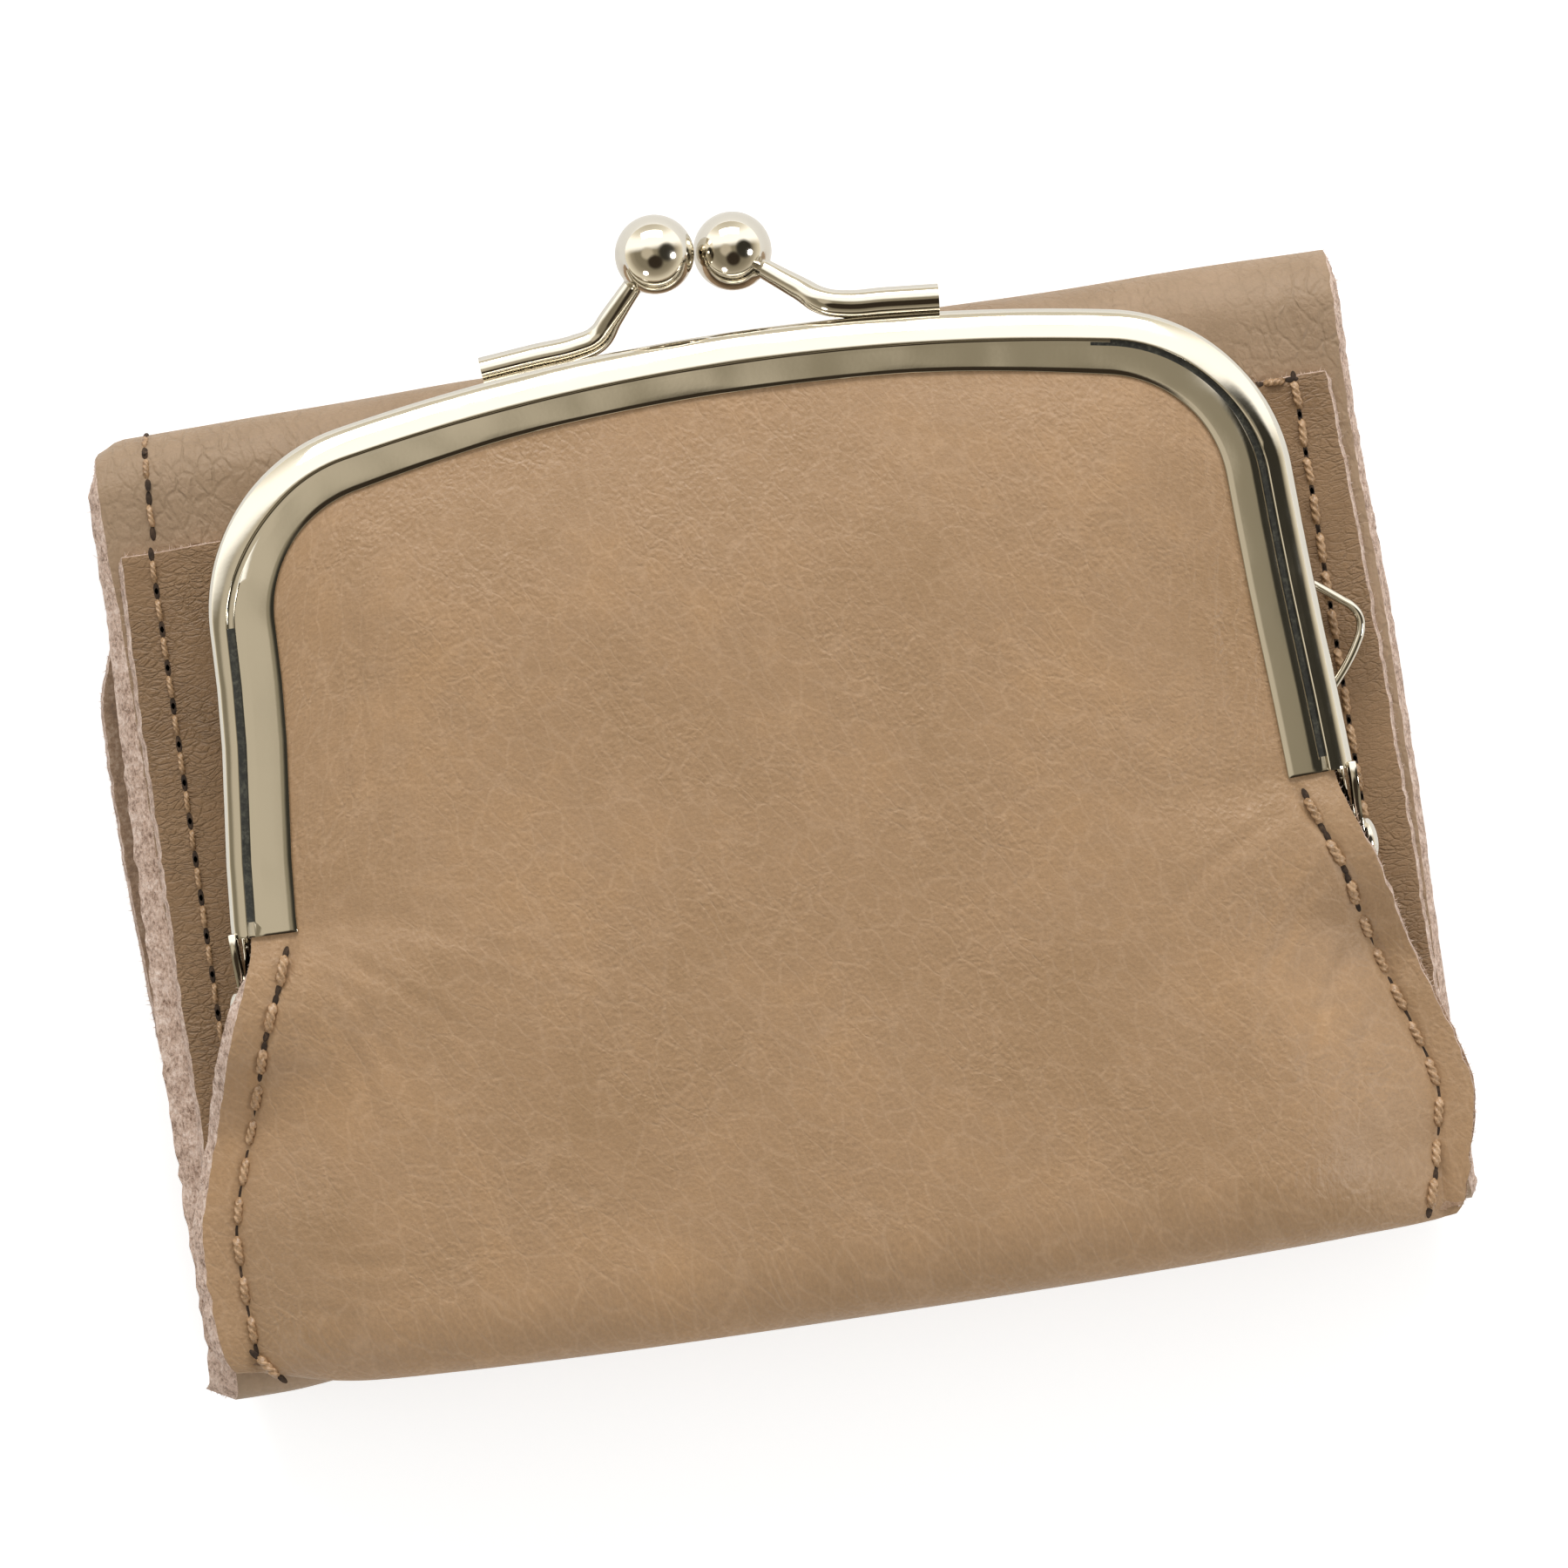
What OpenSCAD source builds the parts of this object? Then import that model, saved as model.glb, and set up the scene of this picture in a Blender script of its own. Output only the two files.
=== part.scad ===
// A small wallet that folds in three, with a kiss-lock coin purse on its front.
// It lies closed on its back: the back flap on the table, the purse and its frame on top.
// X runs across the wallet, Y towards the top fold and the two balls, Z up from the table.

/* [Leather] */
// Thickness of the cover leather, of which the three leaves and the front pocket are cut
cover_t = 1.2; // [0.8:0.1:1.6]
// Thickness of the split leather of the liner and the card pockets
thin_t = 0.9; // [0.6:0.1:1.2]
// Thickness of the purse leather
purse_t = 0.9; // [0.6:0.1:1]

/* [Wallet] */
// Height of the folded wallet, from the bottom fold to the top fold
wallet_h = 77.4; // [74:0.2:82]
// Width of the front leaf
front_w = 100.8; // [98:0.2:104]
// Width of the front pocket panel
pocket_w = 98.4; // [94:0.2:100]
// Distance from the top fold down to the raw top edge of the front pocket
pocket_drop = 9.8; // [6:0.2:14]
// Width of the bill compartment's liner
liner_w = 101.4; // [98:0.2:104]
// Width of the tuck leaf
tuck_w = 102.2; // [98:0.2:104]
// Length of the tuck leaf, from the bottom fold to its free edge
tuck_l = 38.8; // [30:0.2:39]
// Width of the back flap at its widest
flap_w = 103.2; // [100:0.2:106]
// How far the back flap sits to the left of the front leaf
flap_shift = 0.6; // [0:0.1:1]
// Distance between the flap and the tuck leaf, which the snap fastener fills
leaf_gap = 2.2; // [2.1:0.1:3]
// Distance between the tuck leaf and the liner
tuck_gap = 0.4; // [0.3:0.1:1]
// Distance between the liner and the front leaf, where the bank notes go
bill_gap = 0.5; // [0.3:0.1:1]

/* [Card pockets] */
// Height of the card pocket on the flap
flap_pocket_h = 50; // [40:1:56]
// Height of the card pocket on the tuck leaf
tuck_pocket_h = 31; // [24:1:34]
// Distance between the raw side edge of a leaf and the card pocket on it
pocket_margin = 1.6; // [1:0.2:4]

/* [Thread] */
// Thickness of the sewing thread
thread_d = 0.7; // [0.4:0.1:0.8]
// Length of one visible stitch
stitch_l = 2.3; // [1.5:0.1:2.6]
// Distance from one stitch to the next
stitch_pitch = 3.05; // [2.8:0.05:4]
// Distance between a leaf's raw side edge and its stitch row
stitch_inset = 4.2; // [3:0.1:5]
// Distance between the purse's raw side edge and its seam
seam_inset = 2.6; // [2:0.1:4]

/* [Snap fastener] */
// Diameter of the socket ring on the flap
socket_d = 11; // [9:0.5:13]
// Diameter of the opening in the socket ring
socket_bore_d = 4.8; // [4.6:0.1:5.4]
// Height of the socket ring
socket_h = 1.5; // [1.3:0.1:1.6]
// Diameter of the stud at its root
stud_d = 3.8; // [3.2:0.1:3.9]
// Diameter of the stud's flat collar
collar_d = 9; // [7:0.5:10]
// Height of the snap's centre above the middle of the wallet's height, below zero towards the bottom
snap_y = -10; // [-14:1:-6]
// Thickness of the snap's collar and of its back plates
plate_t = 0.35; // [0.3:0.05:0.4]

/* [Purse frame] */
// Width of the frame over the ends of its legs
frame_w = 89.6; // [86:0.2:92]
// Height of the frame from the ends of its legs to the top of its arch
frame_h = 41.4; // [38:0.2:44]
// Radius of the shallow top of the arch
crown_r = 180; // [150:5:240]
// Radius of the two corners of the arch
corner_r = 15; // [12:0.5:18]
// Outward lean of the legs, in degrees
leg_lean = 1.8; // [0:0.1:3]
// Depth of the channel, seen from the front as the width of the metal band
channel_d = 4.8; // [4.2:0.1:5.6]
// Thickness of one frame half
channel_t = 3; // [2.8:0.1:3.6]
// Thickness of the sheet metal
sheet_t = 0.4; // [0.3:0.05:0.5]
// How far the frame sits to the right of the wallet's middle
frame_shift = 0.8; // [0:0.1:1.2]
// Distance from the wallet's top fold up to the top of the frame
frame_rise = 0.1; // [-2:0.1:0.6]
// Diameter of the paper cord in the frame channel
paper_cord_d = 0.9; // [0.6:0.1:0.9]

/* [Hinges] */
// Distance from the ends of the frame legs down to the rivets
hinge_drop = 6; // [5:0.1:7]
// Diameter of the rivet shank
rivet_d = 1.6; // [1.2:0.1:1.8]
// Diameter of the rivet's domed head
rivet_head_d = 4.2; // [3.4:0.1:4.4]
// Height of the rivet's domed head
rivet_head_h = 1.1; // [0.8:0.1:1.4]
// Thickness of a hinge ear
ear_t = 0.6; // [0.4:0.05:0.7]
// Width of a hinge ear at the rivet
ear_w = 3.4; // [3:0.1:3.8]

/* [Clasp] */
// Diameter of the two balls
ball_d = 6.2; // [5.6:0.1:6.2]
// Distance between the middles of the two balls, across the wallet
ball_spacing = 6.3; // [6.3:0.1:6.8]
// Height of the balls' middle above the top of the frame
ball_rise = 7; // [6:0.1:8]
// Distance from the frame's middle to the midpoint of the two balls, to the left
ball_shift = 0.4; // [0:0.1:1]
// How far the rear half's ball stands in front, and the front half's ball behind
ball_cross = 1.2; // [0.8:0.1:1.3]
// Diameter of the rods that lie on the frame
rod_d = 2.3; // [1.8:0.1:2.4]
// Distance from the frame's middle to the outer end of a rod
rod_reach = 18.6; // [16:0.2:20]
// Distance from the frame's middle to the bend where a rod turns up to its ball
rod_bend = 9.6; // [8.6:0.2:11]
// Diameter of a clasp arm where it meets its ball
arm_tip_d = 1.6; // [1.2:0.1:1.8]

/* [Strap loop] */
// Thickness of the loop's wire
wire_d = 0.7; // [0.6:0.05:1]
// Distance between the two feet of the loop
loop_foot_gap = 7.6; // [6.5:0.2:9]
// Reach of the loop outside the frame leg
loop_reach = 3; // [2.6:0.2:4]
// Height of the loop's middle above the ends of the legs
loop_rise = 11.6; // [9:0.2:14]

/* [Purse bag] */
// Width of the purse bag at its widest
bag_w = 101.4; // [98:0.2:103]
// Distance from the ends of the frame legs down to the bottom of the bag
bag_drop = 37.3; // [35:0.2:38]
// Height of the purse's crowned front above its rear leather
bag_crown = 7.7; // [7:0.1:9]
// Length of the rounded bottom of the bag
bag_round = 6.5; // [5:0.5:8]
// How much higher the bag's bottom lies at its two corners than in the middle
corner_lift = 2.4; // [0:0.2:4]
// How deep the leather's edge lies inside the frame's outer rim
leather_inset = 1.6; // [1.4:0.1:2.4]

/* [Hidden] */
$fn = 64;

// Colours
tan_leather = "#9c7e63";
dark_leather = "#85705e";
flesh_leather = "#b79a85";
thread_tan = "#cdb08c";
nickel = "#c9c7c0";
paper = "#d8c9a8";

// Small gaps that keep neighbours apart
touch_gap = 0.05;
pivot_gap = 0.05;
overrun = 1;

// Heights of the leaves, from the table up
flap_top_z = cover_t;
flap_pocket_z = flap_top_z + thin_t;
tuck_z = flap_pocket_z + leaf_gap;
tuck_top_z = tuck_z + cover_t;
tuck_pocket_z = tuck_top_z + thin_t;
liner_z = tuck_pocket_z + tuck_gap;
front_z = liner_z + thin_t + bill_gap;
front_top_z = front_z + cover_t;
panel_z = front_top_z + cover_t;

// The two folds are half tubes that join the leaves
top_fold_r = front_top_z / 2;
top_fold_y = wallet_h / 2 - top_fold_r;
bottom_fold_r = (front_top_z - tuck_z) / 2;
bottom_fold_y = bottom_fold_r - wallet_h / 2;
bottom_fold_z = tuck_z + bottom_fold_r;

// Heights of the purse and its frame
stitch_h = thread_d / 2;
bag_seat_z = panel_z + stitch_h + 2 * touch_gap;
rear_channel_z = bag_seat_z + touch_gap + channel_t / 2;
hinge_z = rear_channel_z + channel_t / 2 + touch_gap;
front_channel_z = hinge_z + touch_gap + channel_t / 2;
flange_t = channel_t - 0.6 * sheet_t;
cavity_half = flange_t / 2 - sheet_t;

// Leather in the two channels: the outer part of each cavity, the paper cord takes the inner part
front_edge_z = front_channel_z + cavity_half - touch_gap;
rear_edge_z = rear_channel_z - cavity_half + touch_gap;
seam_z = bag_seat_z + 2 * purse_t + touch_gap;
crown_z = bag_seat_z + bag_crown;

// Place of the frame on the wallet
frame_y = wallet_h / 2 + frame_rise - frame_h;
bag_bottom_y = frame_y - bag_drop;
ball_y = frame_y + frame_h + ball_rise;

// Shape of the arch: two straight legs, two corners, one shallow crown, all tangent
crown_y = frame_h - crown_r;
crown_to_corner = crown_r - corner_r;
lean_slope = tan(leg_lean);
corner_base_x = frame_w / 2 - corner_r / cos(leg_lean);
corner_b = corner_base_x * lean_slope + crown_y;
corner_a = 1 + lean_slope * lean_slope;
corner_c = corner_base_x * corner_base_x + crown_y * crown_y - crown_to_corner * crown_to_corner;
corner_y = (corner_b + sqrt(corner_b * corner_b - corner_a * corner_c)) / corner_a;
corner_x = corner_base_x - corner_y * lean_slope;
crown_angle = asin(corner_x / crown_to_corner);
leg_top_x = corner_x + corner_r * cos(leg_lean);
leg_top_y = corner_y + corner_r * sin(leg_lean);
leg_length = leg_top_y / cos(leg_lean);

// Ears and rivets, as distances from the frame's middle
ear_gap = 0.07;
ear_root = 1.2;
ear_rise = 2.5;
ear_neck = 0.5;
front_ear_x = frame_w / 2 - sheet_t - ear_gap;
rear_ear_x = front_ear_x - ear_gap - ear_t;
inner_head_h = ear_t * 0.7;
inner_head_d = rivet_head_d * 0.7;
leather_stop_x = rear_ear_x - inner_head_h - 4 * touch_gap;

// Depths below the legs' ends between which the bag widens, just below the hinges
flare_start = hinge_drop + rivet_head_d / 2;
flare_end = flare_start + rivet_head_d * 0.4;

// The bag's half width, as shares: depth below the legs of bag_drop, width of bag_w / 2
bag_width_share = [
    [flare_start / bag_drop, leather_stop_x / (bag_w / 2)], [flare_end / bag_drop, 0.91],
    [0.33, 0.93], [0.45, 0.956], [0.6, 0.988], [0.69, 1], [0.8, 0.995], [0.9, 0.982], [1, 0.974]];

// The crease is the stretch of front leather between the legs and the flare, which bends when it opens
crease_drop = hinge_drop + bag_crown * 0.7;

// Band along the frame and the seam that stays flat, and the run over which the front rises to its crown
flat_band = channel_d + 1.5 * sheet_t;
crown_run = frame_h / 2;
edge_extra = frame_w / 2 - leather_stop_x;

// Number of grid cells of the purse leather: across half its width, up the upper part and round the bottom
half_cols = 12;
upper_rows = 9;
lower_rows = 6;
round_rows = 8;

// The flap's left edge is narrower at the fold and swells below it: shares of its height and of its side step
flap_step = (flap_w - front_w) / 2 + flap_shift;
flap_swell_share = [[0, 0], [0.16, 0.04], [0.2, 0.3], [0.25, 0.8], [0.3, 0.98], [0.6, 0.95], [1, 0.85]];
flap_corner_r = 2.4;
flap_lift = 0.8;
flap_bottom_y = flap_lift - wallet_h / 2;

// Extent of the whole, which sets the origin under the middle of its box
reach_left = flap_w / 2 + flap_shift;
reach_right = max(bag_w / 2 + frame_shift, tuck_w / 2, flap_w / 2 - flap_shift);
reach_back = ball_y + ball_d / 2;
reach_front = bag_bottom_y;
origin_x = (reach_right - reach_left) / 2;
origin_y = (reach_back + reach_front) / 2;

// Smooth step from 0 to 1
function ease(u) = let (v = min(max(u, 0), 1)) v * v * (3 - 2 * v);

// Moves a piece from the middle of the wallet to the part's origin
module placed() {
    translate([-origin_x, -origin_y, 0]) children();
}

// Moves a piece from the frame's own place, between the ends of its legs, to the wallet
module on_frame() {
    placed() translate([frame_shift, frame_y, 0]) children();
}

// A flat leaf of leather with rounded corners at its lower edge
module leaf(width, low_y, high_y, low_z, thickness, corner = 0) {
    translate([-width / 2, low_y, low_z])
        linear_extrude(thickness)
            union() {
                translate([0, corner]) square([width, high_y - low_y - corner]);
                if (corner > 0) {
                    translate([corner, 0]) square([width - 2 * corner, corner]);
                    for (x = [corner, width - corner]) translate([x, corner]) circle(r = corner);
                }
            }
}

// Half of a tube of leather along X, open towards +Y or -Y
module fold(width, outer_r, side) {
    translate([-width / 2, 0, 0])
        rotate([90, 0, 90])
            linear_extrude(width)
                intersection() {
                    difference() {
                        circle(r = outer_r);
                        circle(r = outer_r - cover_t);
                    }
                    translate([side > 0 ? 0 : -outer_r, -outer_r]) square([outer_r, 2 * outer_r]);
                }
}

// One stitch: half a round bar lying along Y on the leather
module stitch() {
    rotate([90, 0, 0])
        linear_extrude(stitch_l, center = true)
            intersection() {
                circle(r = stitch_h, $fn = 24);
                translate([-stitch_h, 0]) square([thread_d, stitch_h]);
            }
}

// A straight row of stitches from one point to another, as many as fit
module stitch_row(from, to, z) {
    run = norm(to - from);
    count = floor(run / stitch_pitch);
    turn = atan2(to[1] - from[1], to[0] - from[0]) - 90;
    for (i = [0 : count - 1]) {
        share = (i + 0.5) / count;
        point = from + (to - from) * share;
        translate([point[0], point[1], z]) rotate(turn) stitch();
    }
}

// Front leaf of the cover
module front_cover() {
    color(dark_leather)
        placed() leaf(front_w, bottom_fold_y, top_fold_y, front_z, cover_t);
}

// Top fold of the cover, between the front leaf and the back flap
module top_fold() {
    color(dark_leather)
        placed() translate([0, top_fold_y, top_fold_r]) fold(front_w, top_fold_r, 1);
}

// Bottom fold of the cover, between the front leaf and the tuck leaf
module bottom_fold() {
    color(dark_leather)
        placed() translate([0, bottom_fold_y, bottom_fold_z]) fold(front_w, bottom_fold_r, -1);
}

// Front pocket panel, sewn on the front leaf below its raw top edge
module pocket_panel() {
    color(tan_leather)
        placed() leaf(pocket_w, bottom_fold_y, wallet_h / 2 - pocket_drop, front_top_z, cover_t);
}

// Liner behind the front leaf, which makes the bill compartment with it
module bill_liner() {
    color(flesh_leather)
        placed() leaf(liner_w, bottom_fold_y + cover_t, top_fold_y - cover_t, liner_z, thin_t);
}

// Stitch row that closes the left side: on the front leaf above the pocket, then on the pocket panel
module closed_side_stitches() {
    x = stitch_inset - front_w / 2;
    lip_y = wallet_h / 2 - pocket_drop;
    color(thread_tan) placed() {
        stitch_row([x, lip_y], [x, top_fold_y], front_top_z);
        stitch_row([x, bottom_fold_y], [x, lip_y], panel_z);
    }
}

// Stitch row of the right side, which starts at the pocket's top edge and leaves the bills their way in
module open_side_stitches() {
    x = front_w / 2 - stitch_inset;
    color(thread_tan)
        placed() stitch_row([x, bottom_fold_y], [x, wallet_h / 2 - pocket_drop], panel_z);
}

// The frame's channel section, its rim at zero: a round outer bead, two flanges and the cavity between them
bead_r = channel_t / 2;
bead_steps = 8;
bead_foot = -bead_r - sheet_t / 2;
channel_section = concat(
    [[-channel_d, -flange_t / 2], [bead_foot, -flange_t / 2]],
    [for (i = [0 : bead_steps])
        let (a = 180 * i / bead_steps - 90) [bead_r * cos(a) - bead_r, bead_r * sin(a)]],
    [[bead_foot, flange_t / 2], [-channel_d, flange_t / 2], [-channel_d, cavity_half], [bead_foot, cavity_half]],
    [for (i = [0 : bead_steps])
        let (a = 90 - 180 * i / bead_steps) [cavity_half * cos(a) - bead_r, cavity_half * sin(a)]],
    [[bead_foot, -cavity_half], [-channel_d, -cavity_half]]);

// Section of the paper cord in the middle of the channel
cord_sides = 8;
cord_section = [for (i = [0 : cord_sides - 1])
    let (a = 360 * (i + 0.5) / cord_sides)
    [paper_cord_d / 2 * cos(a) - (channel_d + bead_r) / 2, paper_cord_d / 2 * sin(a)]];

// Stations along the right half of the rim, from the top of the arch to the leg's end: x, y, outward angle
crown_steps = 5;
corner_steps = 10;
right_stations = concat(
    [for (i = [0 : crown_steps])
        let (a = 90 - crown_angle * i / crown_steps)
        [crown_r * cos(a), crown_y + crown_r * sin(a), a]],
    [for (i = [1 : corner_steps])
        let (a = 90 - crown_angle - (90 - crown_angle - leg_lean) * i / corner_steps)
        [corner_x + corner_r * cos(a), corner_y + corner_r * sin(a), a]],
    [[leg_top_x + leg_length * sin(leg_lean), leg_top_y - leg_length * cos(leg_lean), leg_lean]]);

// Stations along the whole rim, from the left leg's end to the right leg's end
stations = concat(
    [for (i = [len(right_stations) - 1 : -1 : 1])
        [-right_stations[i][0], right_stations[i][1], 180 - right_stations[i][2]]],
    right_stations);

// A solid through rings of as many points each, every ring counterclockwise seen from the ring before it.
// The number of points is even: a strip between the ring's first half and its second half closes each end.
module swept(rings) {
    count = len(rings[0]);
    last = len(rings) - 1;
    function at(ring, k) = ring * count + k % count;
    function strip(a, b, c, d) = [[a, b, c], [a, c, d]];
    polyhedron([for (ring = rings) each ring], [
        for (r = [0 : last - 1], k = [0 : count - 1])
            each strip(at(r, k), at(r + 1, k), at(r + 1, k + 1), at(r, k + 1)),
        for (k = [0 : count / 2 - 2])
            each strip(at(0, k), at(0, k + 1), at(0, count - 2 - k), at(0, count - 1 - k)),
        for (k = [0 : count / 2 - 2])
            each strip(at(last, count - 1 - k), at(last, count - 2 - k), at(last, k + 1), at(last, k))]);
}

// Sweeps a section, given counterclockwise, along the rim
module along_arch(section) {
    swept([for (s = stations)
        [for (p = section) [s[0] + p[0] * cos(s[2]), s[1] + p[0] * sin(s[2]), p[1]]]]);
}

// A hinge ear: a plate square to X, straight inside the leg and drawn over to a round eye at the rivet
module ear(x, channel_z) {
    eye_z = hinge_z;
    translate([x, 0, 0])
        rotate([90, 0, 90])
            linear_extrude(ear_t)
                difference() {
                    union() {
                        translate([-hinge_drop, eye_z]) circle(d = ear_w);
                        polygon([
                            [-hinge_drop, eye_z - ear_w / 2],
                            [-hinge_drop, eye_z + ear_w / 2],
                            [-ear_neck, channel_z + ear_root],
                            [ear_rise, channel_z + ear_root],
                            [ear_rise, channel_z - ear_root],
                            [-ear_neck, channel_z - ear_root]]);
                    }
                    translate([-hinge_drop, eye_z]) circle(d = rivet_d + 2 * pivot_gap);
                }
}

// One half of the kiss-lock frame with its two ears
module frame_half(channel_z, ear_x) {
    union() {
        translate([0, 0, channel_z]) along_arch(channel_section);
        for (side = [0, 1]) mirror([side, 0, 0]) ear(ear_x, channel_z);
    }
}

// Rear half of the frame
module rear_frame() {
    color(nickel) on_frame() frame_half(rear_channel_z, rear_ear_x);
}

// Front half of the frame
module front_frame() {
    color(nickel) on_frame() frame_half(front_channel_z, front_ear_x);
}

// Paper cord pressed into a channel beside the leather
module paper_cord(z) {
    color(paper) on_frame() translate([0, 0, z]) along_arch(cord_section);
}

// Paper cord of the rear half
module rear_paper_cord() {
    paper_cord(rear_edge_z + purse_t + touch_gap + paper_cord_d / 2);
}

// Paper cord of the front half
module front_paper_cord() {
    paper_cord(front_edge_z - purse_t - touch_gap - paper_cord_d / 2);
}

// Place of a clasp ball, from the frame's middle: side -1 is the rear half's ball, 1 the front half's
function ball_place(side) =
    [side * ball_spacing / 2 - ball_shift, frame_h + ball_rise, hinge_z - side * ball_cross];

// Angle on the crown, from its top, at which a rod touches the rim in its middle
rod_angle = asin((rod_bend + rod_reach) / 2 / crown_r);

// A point on a clasp's rod: its place along the rim's tangent, counted from the rod's middle outwards
function rod_place(side, along) =
    let (out_r = crown_r + rod_d / 2 + touch_gap / 2)
    [side * (out_r * sin(rod_angle) + along * cos(rod_angle)),
        crown_y + out_r * cos(rod_angle) - along * sin(rod_angle),
        hinge_z + side * (channel_t / 2 + touch_gap)];

// A round bar from one point to another, thinner at its end if asked
module bar(from, to, d1, d2) {
    reach = to - from;
    translate(from)
        rotate([0, acos(reach[2] / norm(reach)), atan2(reach[1], reach[0])])
            cylinder(d1 = d1, d2 = d2, h = norm(reach));
}

// A rod soldered on the rim that bends up to its ball
module clasp_arm(side) {
    half_rod = (rod_reach - rod_bend) / 2;
    bend = rod_place(side, -half_rod);
    ball = ball_place(side);
    color(nickel) on_frame() difference() {
        union() {
            bar(bend, rod_place(side, half_rod), rod_d, rod_d);
            translate(bend) sphere(d = rod_d, $fn = 48);
            bar(bend, ball, rod_d, arm_tip_d);
        }
        translate(ball) sphere(d = ball_d);
    }
}

// Clasp arm of the rear half, at the left
module rear_clasp_arm() {
    clasp_arm(-1);
}

// Clasp arm of the front half, at the right
module front_clasp_arm() {
    clasp_arm(1);
}

// Ball of the rear half, the left one, which stands in front
module rear_clasp_ball() {
    color(nickel) on_frame() translate(ball_place(-1)) sphere(d = ball_d);
}

// Ball of the front half, the right one, which stands behind
module front_clasp_ball() {
    color(nickel) on_frame() translate(ball_place(1)) sphere(d = ball_d);
}

// Strap loop: a wire bent to a rounded point, soldered to the outside of the rear half's right leg
module strap_loop() {
    sides = 12;
    tip_steps = 8;
    foot_half = loop_foot_gap / 2;
    tip_r = loop_reach / 3;
    tip = [frame_w / 2 + loop_reach - wire_d / 2 - tip_r, loop_rise];
    function foot(side) = [
        frame_w / 2 - (loop_rise + side * foot_half) * lean_slope + touch_gap, loop_rise + side * foot_half];
    turn = atan2(tip[0] - foot(1)[0], foot_half) + asin(tip_r / norm(foot(1) - tip));
    route = concat([foot(1)],
        [for (i = [0 : tip_steps]) let (a = turn * (1 - 2 * i / tip_steps)) tip + tip_r * [cos(a), sin(a)]],
        [foot(-1)]);
    last = len(route) - 1;
    function heading(i) = let (way = route[min(i + 1, last)] - route[max(i - 1, 0)]) way / norm(way);
    function out(i) = (i == 0 || i == last) ? [0, 1 / heading(i)[0]] : [-heading(i)[1], heading(i)[0]];
    color(nickel) on_frame() translate([0, 0, rear_channel_z])
        swept([for (i = [0 : last])
            [for (k = [0 : sides - 1])
                let (a = 360 * k / sides, place = route[i] + out(i) * cos(a) * wire_d / 2)
                [place[0], place[1], sin(a) * wire_d / 2]]]);
}

// A hinge rivet: shank, domed outer head and flat inner head
module rivet() {
    outer_x = front_ear_x + ear_t + pivot_gap;
    inner_x = rear_ear_x - pivot_gap;
    dome_r = (rivet_head_d * rivet_head_d / 4 + rivet_head_h * rivet_head_h) / (2 * rivet_head_h);
    translate([0, -hinge_drop, hinge_z])
        rotate([0, 90, 0])
            union() {
                translate([0, 0, inner_x - inner_head_h / 2])
                    cylinder(d = rivet_d, h = outer_x - inner_x + inner_head_h);
                translate([0, 0, inner_x - inner_head_h]) cylinder(d = inner_head_d, h = inner_head_h);
                translate([0, 0, outer_x])
                    intersection() {
                        translate([0, 0, rivet_head_h - dome_r]) sphere(r = dome_r);
                        cylinder(d = rivet_head_d, h = rivet_head_h + overrun);
                    }
            }
}

// Rivet of the left hinge
module left_rivet() {
    color(nickel) on_frame() mirror([1, 0, 0]) rivet();
}

// Rivet of the right hinge
module right_rivet() {
    color(nickel) on_frame() rivet();
}

// Distance of a point from the arch's outer rim, inwards
function arch_depth(x, y) =
    let (
        ax = abs(x),
        angle = atan2(y - corner_y, ax - corner_x),
        from_leg = corner_r - (ax - corner_x) * cos(leg_lean) - (y - corner_y) * sin(leg_lean),
        from_crown = crown_r - norm([ax, y - crown_y]))
    (angle > leg_lean && angle < 90 - crown_angle)
        ? corner_r - norm([ax - corner_x, y - corner_y])
        : min(from_leg, from_crown);

// Half width of the bag at a depth below the ends of the legs, clear of the hinges at the top
function bag_half(depth) = lookup(depth / bag_drop, bag_width_share) * bag_w / 2;

// Half width of the leather at a height above the ends of the legs
function leather_half(y) =
    y < 0
        ? bag_half(-y)
        : corner_x + (corner_r - leather_inset) * cos(leg_lean) + max(leg_top_y - y, 0) * lean_slope;

// Height of the leather's top edge inside the arch, for a share -1..1 of its half width
function leather_top(share) =
    let (x = abs(share) * (corner_x + (corner_r - leather_inset) * cos(leg_lean)))
    x < (crown_r - leather_inset) * sin(crown_angle)
        ? crown_y + sqrt(pow(crown_r - leather_inset, 2) - x * x)
        : corner_y + sqrt(max(pow(corner_r - leather_inset, 2) - pow(x - corner_x, 2), 0));

// Height of the front leather's outer face
function front_face_z(x, y) =
    let (
        depth = y >= 0 ? arch_depth(x, y) : bag_half(-y) + edge_extra - abs(x),
        rim_z = front_edge_z + (seam_z - front_edge_z) * ease(-y / crease_drop),
        rise = ease((depth - flat_band) / crown_run))
    rim_z + (crown_z - rim_z) * rise;

// Height of the rear leather's outer face, the lower one
function rear_face_z(y) = rear_edge_z + (bag_seat_z - rear_edge_z) * ease(-y / crease_drop);

// Columns of the leather grid, as shares of its half width, closer together at the sides
column_shares = [for (i = [-half_cols : half_cols]) sin(90 * i / half_cols)];

// One row of grid points of the front leather inside the arch, at a share of the way up
function upper_row(share, drop) = [
    for (column = column_shares)
        let (
            y = leather_top(column) * share,
            x = column * leather_half(y))
        [x, y, front_face_z(x, y) - drop]];

// A row at one height below the legs
function level_row(y, drop) = [
    for (column = column_shares)
        let (x = column * leather_half(y))
        [x, y, front_face_z(x, y) - drop]];

// Height above the legs' ends where the bag's rounded bottom begins
round_y = bag_round - bag_drop;

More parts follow.
